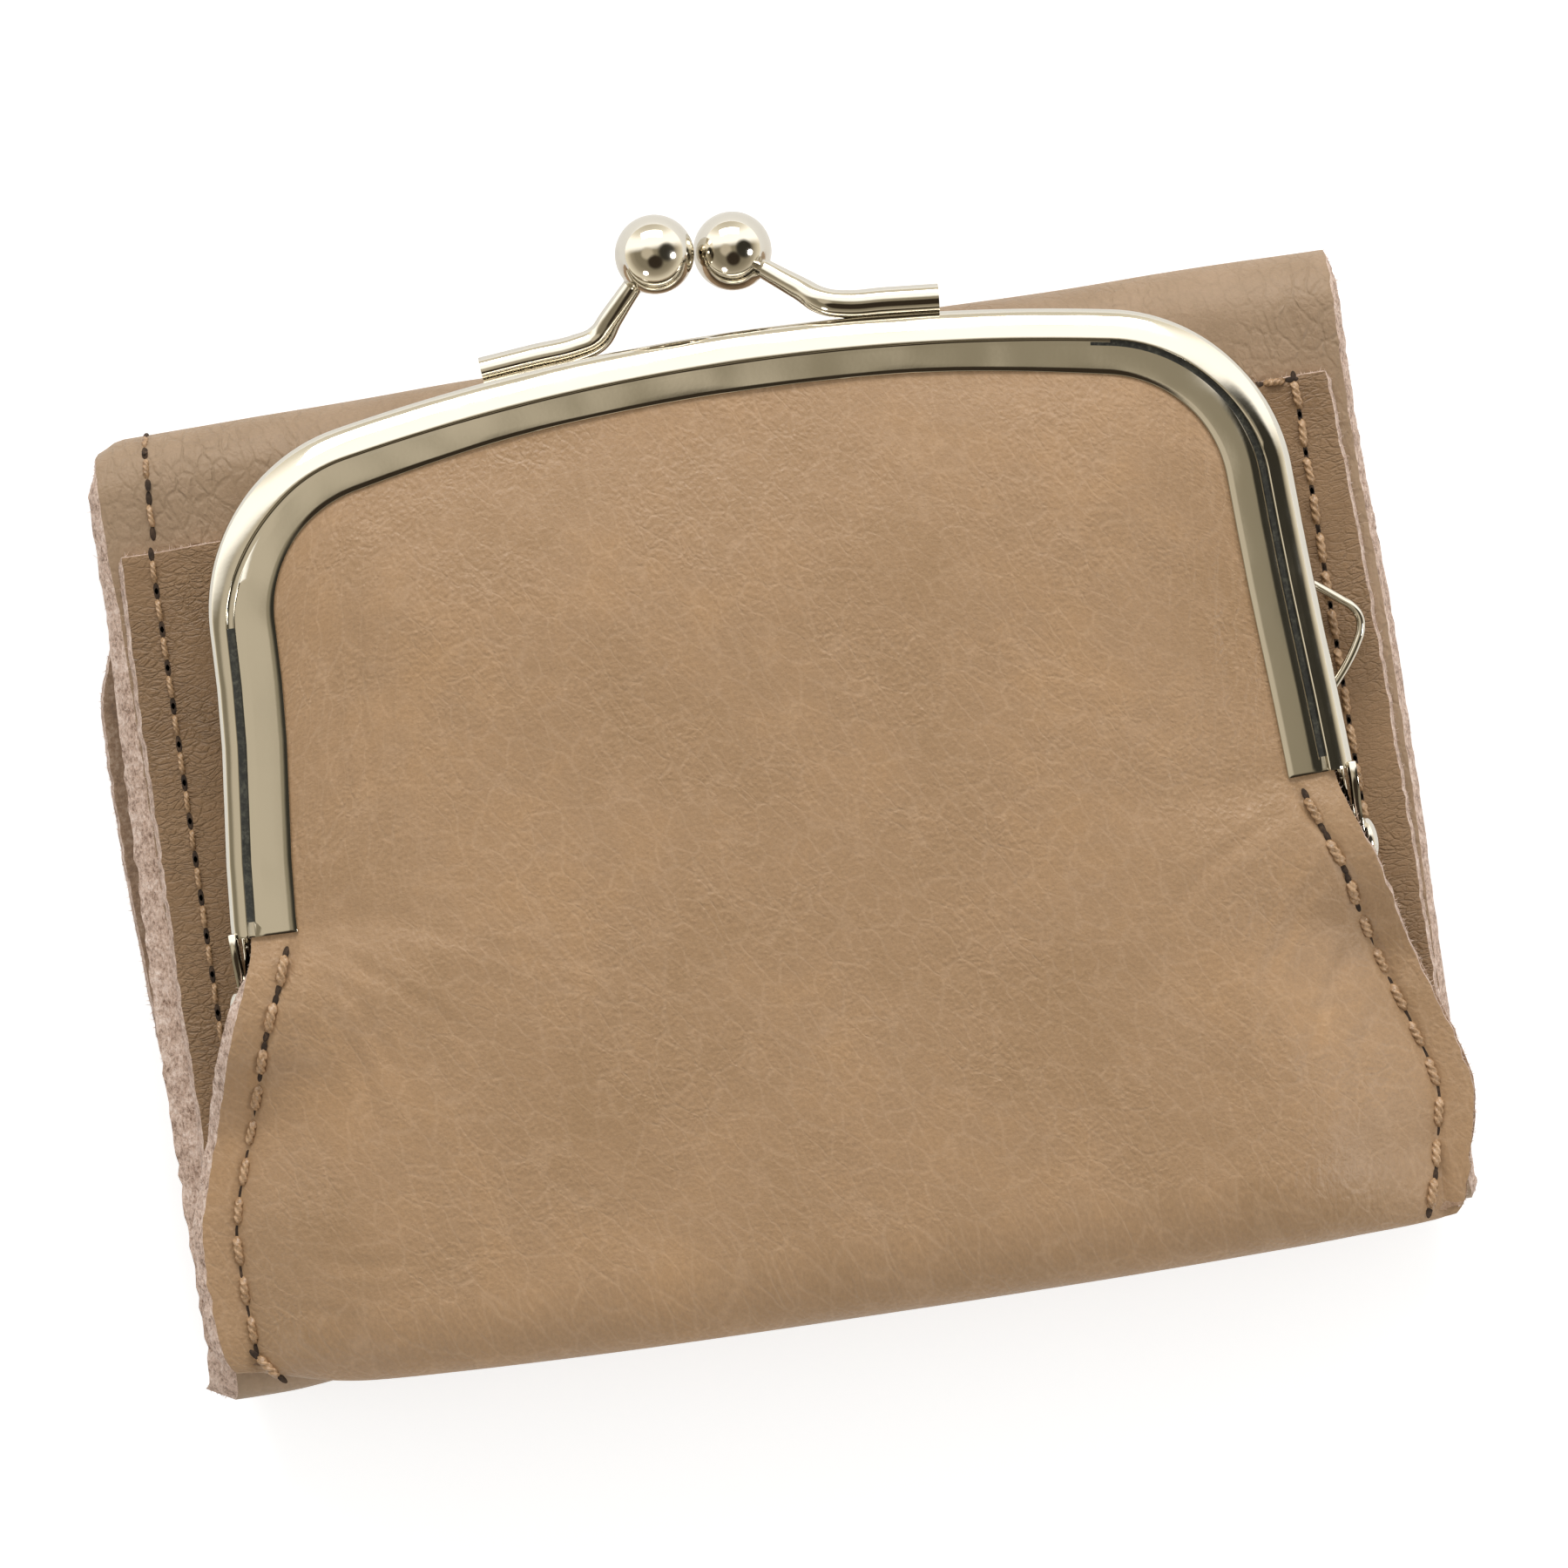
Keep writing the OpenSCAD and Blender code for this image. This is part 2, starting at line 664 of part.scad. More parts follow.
// A row round the bag's bottom: angle 0 at the front face, 180 at the rear face
function round_row(angle, drop) = [
    for (column = column_shares)
        let (
            x = column * leather_half(round_y - bag_round / 2 * (1 - cos(angle))),
            high_z = front_face_z(x, round_y),
            middle_z = (high_z + bag_seat_z) / 2,
            half_z = (high_z - bag_seat_z) / 2 - drop,
            lift = corner_lift * pow(abs(column), 6))
        [x, round_y - (bag_round - lift - drop) * sin(angle), middle_z + half_z * cos(angle)]];

// Closed sheet of leather between two grids of points, rows upwards and columns to the right
module sheet(outer, inner) {
    rows = len(outer);
    cols = len(outer[0]);
    last_row = rows - 1;
    last_col = cols - 1;
    shift = rows * cols;
    function at(row, col) = row * cols + col;
    function strip(a, b, c, d) = [[a, b, c], [a, c, d]];
    points = [for (row = outer) each row, for (row = inner) each row];
    faces = [
        for (r = [0 : last_row - 1], c = [0 : last_col - 1])
            each strip(at(r, c), at(r + 1, c), at(r + 1, c + 1), at(r, c + 1)),
        for (r = [0 : last_row - 1], c = [0 : last_col - 1])
            each strip(shift + at(r, c), shift + at(r, c + 1), shift + at(r + 1, c + 1), shift + at(r + 1, c)),
        for (c = [0 : last_col - 1])
            each strip(at(0, c), at(0, c + 1), shift + at(0, c + 1), shift + at(0, c)),
        for (c = [0 : last_col - 1])
            each strip(at(last_row, c + 1), at(last_row, c), shift + at(last_row, c), shift + at(last_row, c + 1)),
        for (r = [0 : last_row - 1])
            each strip(at(r + 1, 0), at(r, 0), shift + at(r, 0), shift + at(r + 1, 0)),
        for (r = [0 : last_row - 1])
            each strip(at(r, last_col), at(r + 1, last_col), shift + at(r + 1, last_col), shift + at(r, last_col))];
    polyhedron(points, faces);
}

// Rows inside the arch, as shares of the way up, closer together at the top
upper_share = [for (i = [0 : upper_rows]) sin(90 * i / upper_rows)];

// Front leather of the purse inside the arch, which swings with the front half
module purse_front_upper() {
    color(tan_leather) on_frame()
        sheet([for (share = upper_share) upper_row(share, 0)],
            [for (share = upper_share) upper_row(share, purse_t)]);
}

// Front leather at the hinges, which bends when the purse opens
module purse_front_crease() {
    levels = [touch_gap - crease_drop, -flare_end, -flare_start, -flare_start / 2, -touch_gap];
    color(tan_leather) on_frame()
        sheet([for (y = levels) level_row(y, 0)], [for (y = levels) level_row(y, purse_t)]);
}

// Front leather below the hinges, with the bag's rounded bottom
module purse_front_lower() {
    run = -crease_drop - round_y;
    angles = [for (i = [0 : round_rows]) 180 - 180 * i / round_rows];
    levels = [for (i = [1 : lower_rows]) round_y + run * i / lower_rows];
    color(tan_leather) on_frame()
        sheet(
            concat([for (a = angles) round_row(a, 0)], [for (y = levels) level_row(y, 0)]),
            concat([for (a = angles) round_row(a, purse_t)], [for (y = levels) level_row(y, purse_t)]));
}

// Rear leather of the purse, from the bag's bottom up into the rear channel
module purse_rear() {
    low_y = round_y + touch_gap;
    levels = concat(
        [for (i = [0 : lower_rows]) low_y + (-flare_end - low_y) * i / lower_rows],
        [-flare_start, -flare_start / 2]);
    function rear_rows(rise) = concat(
        [for (y = levels)
            [for (column = column_shares) [column * leather_half(y), y, rear_face_z(y) + rise]]],
        [for (share = upper_share)
            [for (column = column_shares)
                let (y = leather_top(column) * share)
                [column * leather_half(y), y, rear_face_z(y) + rise]]]);
    color(tan_leather) on_frame() sheet(rear_rows(purse_t), rear_rows(0));
}

// Stitches down one side seam of the purse between two depths, following the bag's edge
module seam_stitches(from_depth, to_depth) {
    count = floor((to_depth - from_depth) / stitch_pitch);
    for (side = [0, 1])
        mirror([side, 0, 0])
            for (i = [0 : count - 1]) {
                depth = from_depth + (to_depth - from_depth) * (i + 0.5) / count;
                x = bag_half(depth) - seam_inset;
                lean = atan((bag_half(depth + stitch_l / 2) - bag_half(depth - stitch_l / 2)) / stitch_l);
                top_z = max(front_face_z(x, stitch_l / 2 - depth), front_face_z(x, -stitch_l / 2 - depth));
                translate([x, -depth, top_z + touch_gap]) rotate(lean) stitch();
            }
}

// Side seams of the purse below the crease
module purse_seam_stitches() {
    color(thread_tan) on_frame() seam_stitches(crease_drop, bag_drop - bag_round);
}

// Side seams of the purse beside the hinges
module purse_crease_stitches() {
    color(thread_tan) on_frame() seam_stitches(stitch_l / 2, crease_drop);
}

// Stitch row inside the purse that holds its rear leather on the front pocket panel
module purse_base_stitches() {
    inset = front_w / 2 - bag_w / 2 + 3 * stitch_inset;
    y = round_y + frame_y + stitch_inset;
    color(thread_tan)
        placed() stitch_row([inset - front_w / 2, y], [front_w / 2 - inset, y], bag_seat_z + purse_t + touch_gap);
}

// Outline of the back flap: its left edge swells below the top fold
function flap_left(share) = -front_w / 2 - flap_step * lookup(share, flap_swell_share);

// Back flap, the leaf that lies on the table
module flap_cover() {
    right = flap_w / 2 - flap_shift;
    height = top_fold_y - flap_bottom_y;
    left_low = flap_left(1);
    swell_points = [for (row = flap_swell_share)
        if (row[0] < 1) [flap_left(row[0]), top_fold_y - height * row[0]]];
    left_corner = [for (a = [180 : 15 : 270])
        [left_low + flap_corner_r * (1 + cos(a)), flap_bottom_y + flap_corner_r * (1 + sin(a))]];
    right_corner = [for (a = [270 : 15 : 360])
        [right - flap_corner_r * (1 - cos(a)), flap_bottom_y + flap_corner_r * (1 + sin(a))]];
    color(dark_leather) placed()
        linear_extrude(cover_t)
            polygon(concat(swell_points, left_corner, right_corner, [[right, top_fold_y]]));
}

// Card pocket on the inner face of the flap
module flap_card_pocket() {
    color(flesh_leather) placed()
        translate([-flap_shift, 0, 0])
            difference() {
                leaf(flap_w - 2 * pocket_margin - flap_step, flap_bottom_y + pocket_margin,
                    flap_bottom_y + flap_pocket_h, flap_top_z, thin_t, flap_corner_r);
                translate([flap_shift, snap_y, flap_top_z - overrun])
                    cylinder(d = socket_d + thin_t, h = plate_t + overrun + touch_gap);
            }
}

// Stitch rows of the flap's card pocket
module flap_stitches() {
    half = front_w / 2 - stitch_inset;
    color(thread_tan) placed()
        for (x = [-half, half])
            stitch_row([x, flap_bottom_y + stitch_inset], [x, flap_bottom_y + flap_pocket_h], flap_pocket_z);
}

// Socket ring of the snap, on the flap's inner face
module snap_socket() {
    color(nickel) placed() translate([0, snap_y, flap_pocket_z])
        difference() {
            union() {
                cylinder(d = socket_d, h = socket_h / 2);
                cylinder(d = (socket_d + socket_bore_d) / 2, h = socket_h);
            }
            translate([0, 0, -overrun]) cylinder(d = socket_bore_d, h = socket_h + 2 * overrun);
        }
}

// Back plate of the socket, hidden between the flap's two leathers
module snap_socket_plate() {
    color(nickel) placed() translate([0, snap_y, flap_top_z])
        cylinder(d = socket_d, h = plate_t);
}

// Tuck leaf, folded in between the front leaf and the flap
module tuck_cover() {
    color(dark_leather) placed()
        difference() {
            leaf_up(tuck_w, bottom_fold_y, bottom_fold_y + tuck_l, tuck_z, cover_t);
            translate([0, snap_y, tuck_z - overrun]) cylinder(d = stud_d, h = cover_t + 2 * overrun);
        }
}

// A leaf whose rounded corners are at its upper edge
module leaf_up(width, low_y, high_y, low_z, thickness) {
    translate([0, low_y + high_y, 0])
        mirror([0, 1, 0]) leaf(width, low_y, high_y, low_z, thickness, flap_corner_r);
}

// Card pocket on the inner face of the tuck leaf
module tuck_card_pocket() {
    color(flesh_leather) placed()
        difference() {
            leaf_up(tuck_w - 2 * pocket_margin, bottom_fold_y + pocket_margin,
                bottom_fold_y + tuck_pocket_h, tuck_top_z, thin_t);
            translate([0, snap_y, tuck_top_z - overrun])
                cylinder(d = collar_d + thin_t, h = plate_t + overrun + touch_gap);
        }
}

// Stitch rows of the tuck leaf's card pocket, on its outer face
module tuck_stitches() {
    half = tuck_w / 2 - stitch_inset;
    color(thread_tan) placed()
        translate([0, 0, tuck_z])
            mirror([0, 0, 1])
                for (x = [-half, half])
                    stitch_row([x, bottom_fold_y + pocket_margin], [x, bottom_fold_y + tuck_pocket_h], 0);
}

// Stud of the snap: a collar on the tuck leaf's outer face, a post through the leather and the stud below
module snap_stud() {
    drop = leaf_gap - plate_t - socket_h * 0.3;
    color(nickel) placed() translate([0, snap_y, tuck_z]) union() {
        cylinder(d = stud_d, h = cover_t);
        translate([0, 0, -plate_t]) cylinder(d = collar_d, h = plate_t);
        translate([0, 0, -plate_t - drop]) cylinder(d1 = stud_d * 0.7, d2 = stud_d, h = drop);
    }
}

// Back plate of the stud, hidden between the tuck leaf's two leathers
module snap_stud_plate() {
    color(nickel) placed() translate([0, snap_y, tuck_top_z])
        cylinder(d = collar_d, h = plate_t);
}

front_cover();
top_fold();
bottom_fold();
pocket_panel();
bill_liner();
closed_side_stitches();
open_side_stitches();
purse_rear();
purse_front_lower();
purse_front_crease();
purse_seam_stitches();
purse_crease_stitches();
purse_base_stitches();
rear_frame();
rear_paper_cord();
rear_clasp_arm();
rear_clasp_ball();
strap_loop();
left_rivet();
right_rivet();
front_frame();
front_paper_cord();
front_clasp_arm();
front_clasp_ball();
purse_front_upper();
flap_cover();
flap_card_pocket();
flap_stitches();
snap_socket();
snap_socket_plate();
tuck_cover();
tuck_card_pocket();
tuck_stitches();
snap_stud();
snap_stud_plate();
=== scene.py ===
"""A leather wallet that folds in three, with a kiss-lock coin purse on its front, lying closed on its back."""
import math
import random

import bpy
from mathutils import Matrix, Vector, noise


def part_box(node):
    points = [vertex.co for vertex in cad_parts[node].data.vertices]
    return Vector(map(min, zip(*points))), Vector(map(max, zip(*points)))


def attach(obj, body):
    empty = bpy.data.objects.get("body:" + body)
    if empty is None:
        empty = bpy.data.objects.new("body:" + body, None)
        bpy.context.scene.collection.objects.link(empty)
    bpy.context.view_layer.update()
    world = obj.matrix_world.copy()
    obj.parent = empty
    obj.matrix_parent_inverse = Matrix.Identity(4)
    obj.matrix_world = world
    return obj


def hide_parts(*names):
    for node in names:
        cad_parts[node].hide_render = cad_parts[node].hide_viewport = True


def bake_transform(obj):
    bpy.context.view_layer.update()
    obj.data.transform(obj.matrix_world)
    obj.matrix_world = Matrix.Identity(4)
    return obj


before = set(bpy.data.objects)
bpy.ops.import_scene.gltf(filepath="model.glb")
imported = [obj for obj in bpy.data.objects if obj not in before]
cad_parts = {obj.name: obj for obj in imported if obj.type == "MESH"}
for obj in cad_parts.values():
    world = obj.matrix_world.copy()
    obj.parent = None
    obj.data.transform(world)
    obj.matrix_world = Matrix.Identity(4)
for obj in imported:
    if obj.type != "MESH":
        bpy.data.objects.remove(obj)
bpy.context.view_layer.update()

# Sizes are in millimetres. Angles that are written out as numbers are in degrees; sums are done in radians
MM = 0.001


def low(node):
    """Lowest corner of a node of the frame, in millimetres."""
    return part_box(node)[0] / MM


def high(node):
    """Highest corner of a node of the frame, in millimetres."""
    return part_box(node)[1] / MM


def lerp(a, b, share):
    return a + (b - a) * share


def ease(share):
    """Smooth step from 0 to 1."""
    share = min(max(share, 0.0), 1.0)
    return share * share * (3 - 2 * share)


def follow(table, x):
    """Value at x on a smooth line through the table's (x, value) rows, which go up in x."""
    if x <= table[0][0]:
        return table[0][1]
    for i in range(len(table) - 1):
        (x0, y0), (x1, y1) = table[i], table[i + 1]
        if x <= x1:
            before = table[max(i - 1, 0)]
            after = table[min(i + 2, len(table) - 1)]
            run = x1 - x0
            slope0 = (y1 - before[1]) / (x1 - before[0]) * run
            slope1 = (after[1] - y0) / (after[0] - x0) * run
            t = (x - x0) / run
            return (
                y0 * (2 * t**3 - 3 * t**2 + 1)
                + slope0 * (t**3 - 2 * t**2 + t)
                + y1 * (3 * t**2 - 2 * t**3)
                + slope1 * (t**3 - t**2)
            )
    return table[-1][1]


# Camera: straight down on the wallet, turned as in the photograph
PHOTO_WIDTH = 125.0
PHOTO_TURN = 8.8
PHOTO_CENTRE = (1.32, -1.62)
LENS = 110.0
SENSOR = 36.0
# Height at which PHOTO_WIDTH is measured
SCALE_HEIGHT = 12.0


def add_camera():
    distance = PHOTO_WIDTH * LENS / SENSOR
    bpy.ops.object.camera_add(
        location=Vector((*PHOTO_CENTRE, SCALE_HEIGHT + distance)) * MM,
        rotation=(0, 0, -math.radians(PHOTO_TURN)),
    )
    camera = bpy.context.object
    camera.data.lens = LENS
    camera.data.sensor_width = SENSOR
    camera.data.clip_start = 0.01
    camera.data.clip_end = 10
    bpy.context.scene.camera = camera


# Colours and materials


def linear(hex_colour):
    """Linear colour with alpha for an sRGB hex value."""
    parts = [int(hex_colour[i : i + 2], 16) / 255 for i in (1, 3, 5)]
    return (*[p / 12.92 if p <= 0.04045 else ((p + 0.055) / 1.055) ** 2.4 for p in parts], 1.0)


def new_material(name):
    """An empty node material: itself, its node tree and its Principled shader."""
    material = bpy.data.materials.new(name)
    material.use_nodes = True
    return material, material.node_tree, material.node_tree.nodes["Principled BSDF"]


def node(tree, kind, inputs=None, stops=(), **settings):
    """Adds a shader node of a kind, or takes one that is there. Its inputs, by name or number, get a value or the
    node or socket that feeds them. stops are a ramp's places and colours, its two ends first."""
    made = kind if isinstance(kind, bpy.types.Node) else tree.nodes.new("ShaderNode" + kind)
    for name, value in settings.items():
        setattr(made, name, value)
    for name, value in (inputs or {}).items():
        socket = made.inputs[name] if isinstance(name, int) else next(
            i for i in made.inputs if i.enabled and i.name == name
        )
        if isinstance(value, bpy.types.Node):
            value = next(o for o in value.outputs if o.enabled)
        if isinstance(value, bpy.types.NodeSocket):
            tree.links.new(value, socket)
        else:
            socket.default_value = value
    for i, (position, colour) in enumerate(stops):
        elements = made.color_ramp.elements
        element = elements[i] if i < 2 else elements.new(position)
        element.position, element.color = position, linear(colour)
    return made


def full_grain_leather(
    name, tones, roughness, folds, crease_tint_and_painted_light, side_folds=None, deep=1.0, line=0.16, pebble=0.04, speckle=0.045
):
    """Chrome-tanned cowhide, milled soft, grain side out: irregular pebbles that the pull has drawn out one way, a
    fine grain on them, slow changes between a warmer and a cooler tone, and a soft waxy shine.
    tones is its shade, middle and warm colour, folds (direction, length, width) of the pebbles,
    crease_tint_and_painted_light the colour of the creases between them as a share of the rest: where above 1, the
    paler leather where they stretch with painted glints on it, and where below 1, painted shade; side_folds the same
    as folds beside the frame's legs, deep how far the creases sink in, line how wide they are in shares of a pebble,
    pebble the relief in millimetres of the fine pebbles, and speckle how much the tone of the fine grain differs."""
    material, tree, shader = new_material(name)
    uv = node(tree, "TexCoord").outputs["UV"]

    # Tone: clouds about 20 mm wide and stains of 2 to 3 mm
    clouds = node(tree, "TexNoise", {"Vector": uv, "Scale": 0.06, "Detail": 2.0, "Roughness": 0.5})
    stains = node(tree, "TexNoise", {"Vector": uv, "Scale": 0.3, "Detail": 3.0, "Roughness": 0.55})
    tone = node(tree, "Mix", {"Factor": 0.35, "A": clouds, "B": stains})
    shade, middle, warm = tones
    colour = node(tree, "ValToRGB", {"Fac": tone}, stops=[(0.3, shade), (0.7, warm), (0.5, middle)])

    # Pebbles: drawn-out cells with thin valleys between them, shaken by a noise so that no line is straight
    shake = node(tree, "TexNoise", {"Vector": uv, "Scale": 0.34, "Detail": 2.0, "Roughness": 0.5}).outputs["Color"]
    shaken = node(tree, "VectorMath", {0: shake, 1: (1.3, 1.3, 0.0), 2: uv}, operation="MULTIPLY_ADD")

    def valleys(turn, length, width, share, reach):
        cells = node(
            tree, "Mapping",
            {"Vector": shaken, "Rotation": (0, 0, math.radians(turn)), "Scale": (length, width, 1)},
            vector_type="TEXTURE",
        )
        edge = node(tree, "TexVoronoi", {"Vector": cells, "Scale": share}, feature="DISTANCE_TO_EDGE")
        return node(tree, "MapRange", {"Value": edge, "From Max": reach}, interpolation_type="SMOOTHSTEP")

    def crease_net(share, reach):
        middle_net = valleys(*folds, share, reach)
        if not side_folds:
            return middle_net
        apart = node(tree, "SeparateXYZ", {"Vector": uv})
        out = node(tree, "Math", {0: apart.outputs["X"], 1: -2.0}, operation="ADD")
        out = node(tree, "Math", {0: out}, operation="ABSOLUTE")
        beside = {"Value": out, "From Min": 26.0, "From Max": 37.0}
        beside = node(tree, "MapRange", beside, interpolation_type="SMOOTHSTEP")
        above = node(tree, "MapRange", {"Value": apart.outputs["Y"], "From Min": 37.0, "From Max": 46.0})
        beside = node(tree, "Math", {0: beside, 1: above}, operation="MULTIPLY")
        return node(tree, "Mix", {"Factor": beside, "A": middle_net, "B": valleys(*side_folds, share, reach)})

    wide, narrow = crease_net(1.0, line), crease_net(2.1, line * 1.5)
    patches = node(tree, "TexNoise", {"Vector": uv, "Scale": 0.1, "Detail": 2.0})
    strength = node(tree, "MapRange", {"Value": patches, "From Min": 0.38, "From Max": 0.6, "To Min": 0.3})
    pores = node(tree, "TexVoronoi", {"Vector": shaken, "Scale": 2.7}, feature="SMOOTH_F1")
    grain = node(tree, "TexNoise", {"Vector": uv, "Scale": 3.4, "Detail": 3.0, "Roughness": 0.65})

    # Relief in millimetres: wide creases 0.036 and narrow ones 0.016, each times deep, then the fine pebbles; all
    # of it stronger in some patches, and on it a fine grain of 0.055
    relief = node(tree, "Math", {0: wide, 1: 0.036 * deep}, operation="MULTIPLY")
    relief = node(tree, "Math", {0: narrow, 1: 0.016 * deep, 2: relief}, operation="MULTIPLY_ADD")
    relief = node(tree, "Math", {0: pores, 1: -pebble, 2: relief}, operation="MULTIPLY_ADD")
    relief = node(tree, "Math", {0: relief, 1: strength}, operation="MULTIPLY")
    relief = node(tree, "Math", {0: grain, 1: 0.055, 2: relief}, operation="MULTIPLY_ADD")

    # Creases have a colour of their own, half as strong in the narrow ones: painted shade where it is darker, and
    # where lighter, paler stretched leather with painted glints; and the fine grain is rubbed unevenly
    plain = (1, 1, 1, 1)
    fine_tint_and_painted_light = [(1 + c) / 2 for c in crease_tint_and_painted_light]
    crease_painted_light_and_rubbing = node(tree, "Mix", {"Factor": wide, "A": crease_tint_and_painted_light, "B": plain}, data_type="RGBA")
    fine_crease_painted_light = node(tree, "Mix", {"Factor": narrow, "A": fine_tint_and_painted_light, "B": plain}, data_type="RGBA")
    crease_painted_light_and_rubbing = node(tree, "VectorMath", {0: crease_painted_light_and_rubbing, 1: fine_crease_painted_light}, operation="MULTIPLY")
    rubbed = {"Value": grain, "From Min": 0.3, "From Max": 0.7, "To Min": 1 - speckle, "To Max": 1 + speckle}
    crease_painted_light_and_rubbing = node(tree, "VectorMath", {0: crease_painted_light_and_rubbing, 1: node(tree, "MapRange", rubbed)}, operation="MULTIPLY")
    colour_with_crease_painted_light = node(tree, "Mix", {"Factor": 1.0, "A": colour, "B": crease_painted_light_and_rubbing}, data_type="RGBA", blend_type="MULTIPLY")
    worn = {"Value": clouds, "From Min": 0.35, "From Max": 0.65, "To Min": roughness - 0.1, "To Max": roughness + 0.1}
    node(tree, shader, {
        "Base Color": colour_with_crease_painted_light, "Roughness": node(tree, "MapRange", worn), "Specular IOR Level": 0.42,
        "Sheen Weight": 0.08, "Sheen Roughness": 0.5,
        "Normal": node(tree, "Bump", {"Height": relief, "Strength": 1.0, "Distance": MM}),
    })
    return material


def fibrous(name, light, middle, dark, grain_mm, relief_mm, roughness, sheen=0.2, stretch=(1, 1, 1)):
    """Bare fibre, such as cut or split hide, spun thread or paper, or a dark strip of painted shade: matt, mottled at
    the size of its grain."""
    material, tree, shader = new_material(name)
    place = node(tree, "TexCoord").outputs["Object"]
    along = {"Vector": place, "Scale": [grain_mm * MM * k for k in stretch]}
    along = node(tree, "Mapping", along, vector_type="TEXTURE")
    fibres = node(tree, "TexNoise", {"Vector": along, "Scale": 1.0, "Detail": 4.0, "Roughness": 0.7})
    clouds = node(tree, "TexNoise", {"Vector": place, "Scale": 0.22 / (grain_mm * MM), "Detail": 3.0})
    tone = node(tree, "Mix", {"Factor": 0.35, "A": fibres, "B": clouds})
    node(tree, shader, {
        "Base Color": node(tree, "ValToRGB", {"Fac": tone}, stops=[(0.36, dark), (0.64, light), (0.5, middle)]),
        "Roughness": roughness, "Sheen Weight": sheen,
        "Normal": node(tree, "Bump", {"Height": fibres, "Strength": 1.0, "Distance": relief_mm * MM}),
    })
    return material


def polished_nickel(name, colour):
    """Nickel-plated pressed steel, polished: a warm mirror with faint smudges, tiny pits and slight waves."""
    material, tree, shader = new_material(name)
    place = node(tree, "TexCoord").outputs["Object"]
    smudge = node(tree, "TexNoise", {"Vector": place, "Scale": 160.0, "Detail": 4.0, "Roughness": 0.6})
    rough = {"Value": smudge, "From Min": 0.35, "From Max": 0.7, "To Min": 0.05, "To Max": 0.13}
    waves = node(tree, "TexNoise", {"Vector": place, "Scale": 130.0, "Detail": 1.0})
    pits = node(tree, "TexNoise", {"Vector": place, "Scale": 2600.0, "Detail": 3.0})
    height = node(tree, "Math", {0: pits, 1: 0.008, 2: waves}, operation="MULTIPLY_ADD")
    node(tree, shader, {
        "Base Color": linear(colour), "Metallic": 1.0, "Roughness": node(tree, "MapRange", rough),
        "Normal": node(tree, "Bump", {"Height": height, "Strength": 1.0, "Distance": 0.24 * MM}),
    })
    return material


# Purse: pale pebbles of 3.3 by 1.5 mm, drawn out from upper left to lower right and upright beside the legs. Its
# creases are lighter than the rest: partly paler leather where they stretch, partly painted glints
PURSE_GRAIN = full_grain_leather(
    "purse_full_grain_cowhide", ("#9e7e5b", "#a58461", "#ac8861"), 0.46, (-56, 3.3, 1.5), (1.08, 1.105, 1.16, 1),
    (84, 5.0, 1.3), deep=0.5, line=0.085, pebble=0.08, speckle=0.08,
)
# Cover strip: greyer, with deeper wrinkles of 2.1 by 1.2 mm across the fold, darkened in them as painted shade
COVER_GRAIN = full_grain_leather(
    "cover_full_grain_cowhide", ("#93795d", "#9e8468", "#a88d72"), 0.55, (84, 2.1, 1.2), (0.95, 0.95, 0.94, 1),
    deep=1.8,
)
# Pocket: darker, with close wrinkles of 1.1 by 0.5 mm along its width, darkened in them as painted shade
POCKET_GRAIN = full_grain_leather(
    "pocket_full_grain_cowhide", ("#7d6041", "#8a6c4c", "#937453"), 0.54, (2, 1.1, 0.5), (0.94, 0.94, 0.93, 1),
    deep=1.9,
)
# Flesh side of the hide: a dull nap without grain
FLESH = fibrous("flesh_side_nap", "#b39a83", "#96795f", "#7c6350", 0.35, 0.06, 0.92, 0.25)
# Cut edge of the hide: undyed pinkish core, torn into short fibres along the cut, with dark pores
RAW_EDGE = fibrous("raw_cut_edge", "#fde6d5", "#dabba5", "#84654f", 0.24, 0.26, 0.95, 0.2, (1, 1.6, 1))
# Loose fibre ends on the cut edges
LOOSE_FIBRE = fibrous("loose_hide_fibre", "#f0dccd", "#d8bda9", "#b39480", 0.3, 0.02, 0.9, 0.3)
NICKEL = polished_nickel("polished_nickel_plate", "#d4cec1")
# Painted shade: a dark matt strip in the groove of the frame's legs, for the shade and dark reflections in it
GROOVE_SHADE = fibrous("painted_shade_in_frame_groove", "#4c4b3f", "#26261f", "#12120f", 0.25, 0.02, 0.55, 0.0)
# Bonded polyester thread, waxed: brown with a dull gloss on the strands
THREAD = fibrous("waxed_polyester_thread", "#cba883", "#ae8b67", "#876949", 0.3, 0.04, 0.26, 0.0)
# Needle holes: leather torn open, its shadow painted in as a dark colour
HOLE_SHADE = fibrous("torn_needle_hole_painted_shade", "#54402f", "#382a1e", "#241911", 0.3, 0.03, 0.95, 0.0)
PAPER = fibrous("twisted_kraft_paper", "#c9b690", "#b5a17b", "#a08c68", 0.3, 0.04, 0.9, 0.1, (3, 1, 1))

# Making pieces


def deselect():
    if bpy.context.mode != "OBJECT":
        bpy.ops.object.mode_set(mode="OBJECT")
    bpy.ops.object.select_all(action="DESELECT")


def only(piece):
    """Selects one piece and makes it the active one."""
    deselect()
    piece.select_set(True)
    bpy.context.view_layer.objects.active = piece


def add(name, operator, **settings):
    """Adds a piece by an operator and names it."""
    deselect()
    operator(**settings)
    piece = bpy.context.object
    piece.name = piece.data.name = name
    return piece


def open_mesh(piece):
    """Opens a piece's mesh for editing, with all of it selected."""
    only(piece)
    bpy.ops.object.mode_set(mode="EDIT")
    bpy.ops.mesh.select_all(action="SELECT")


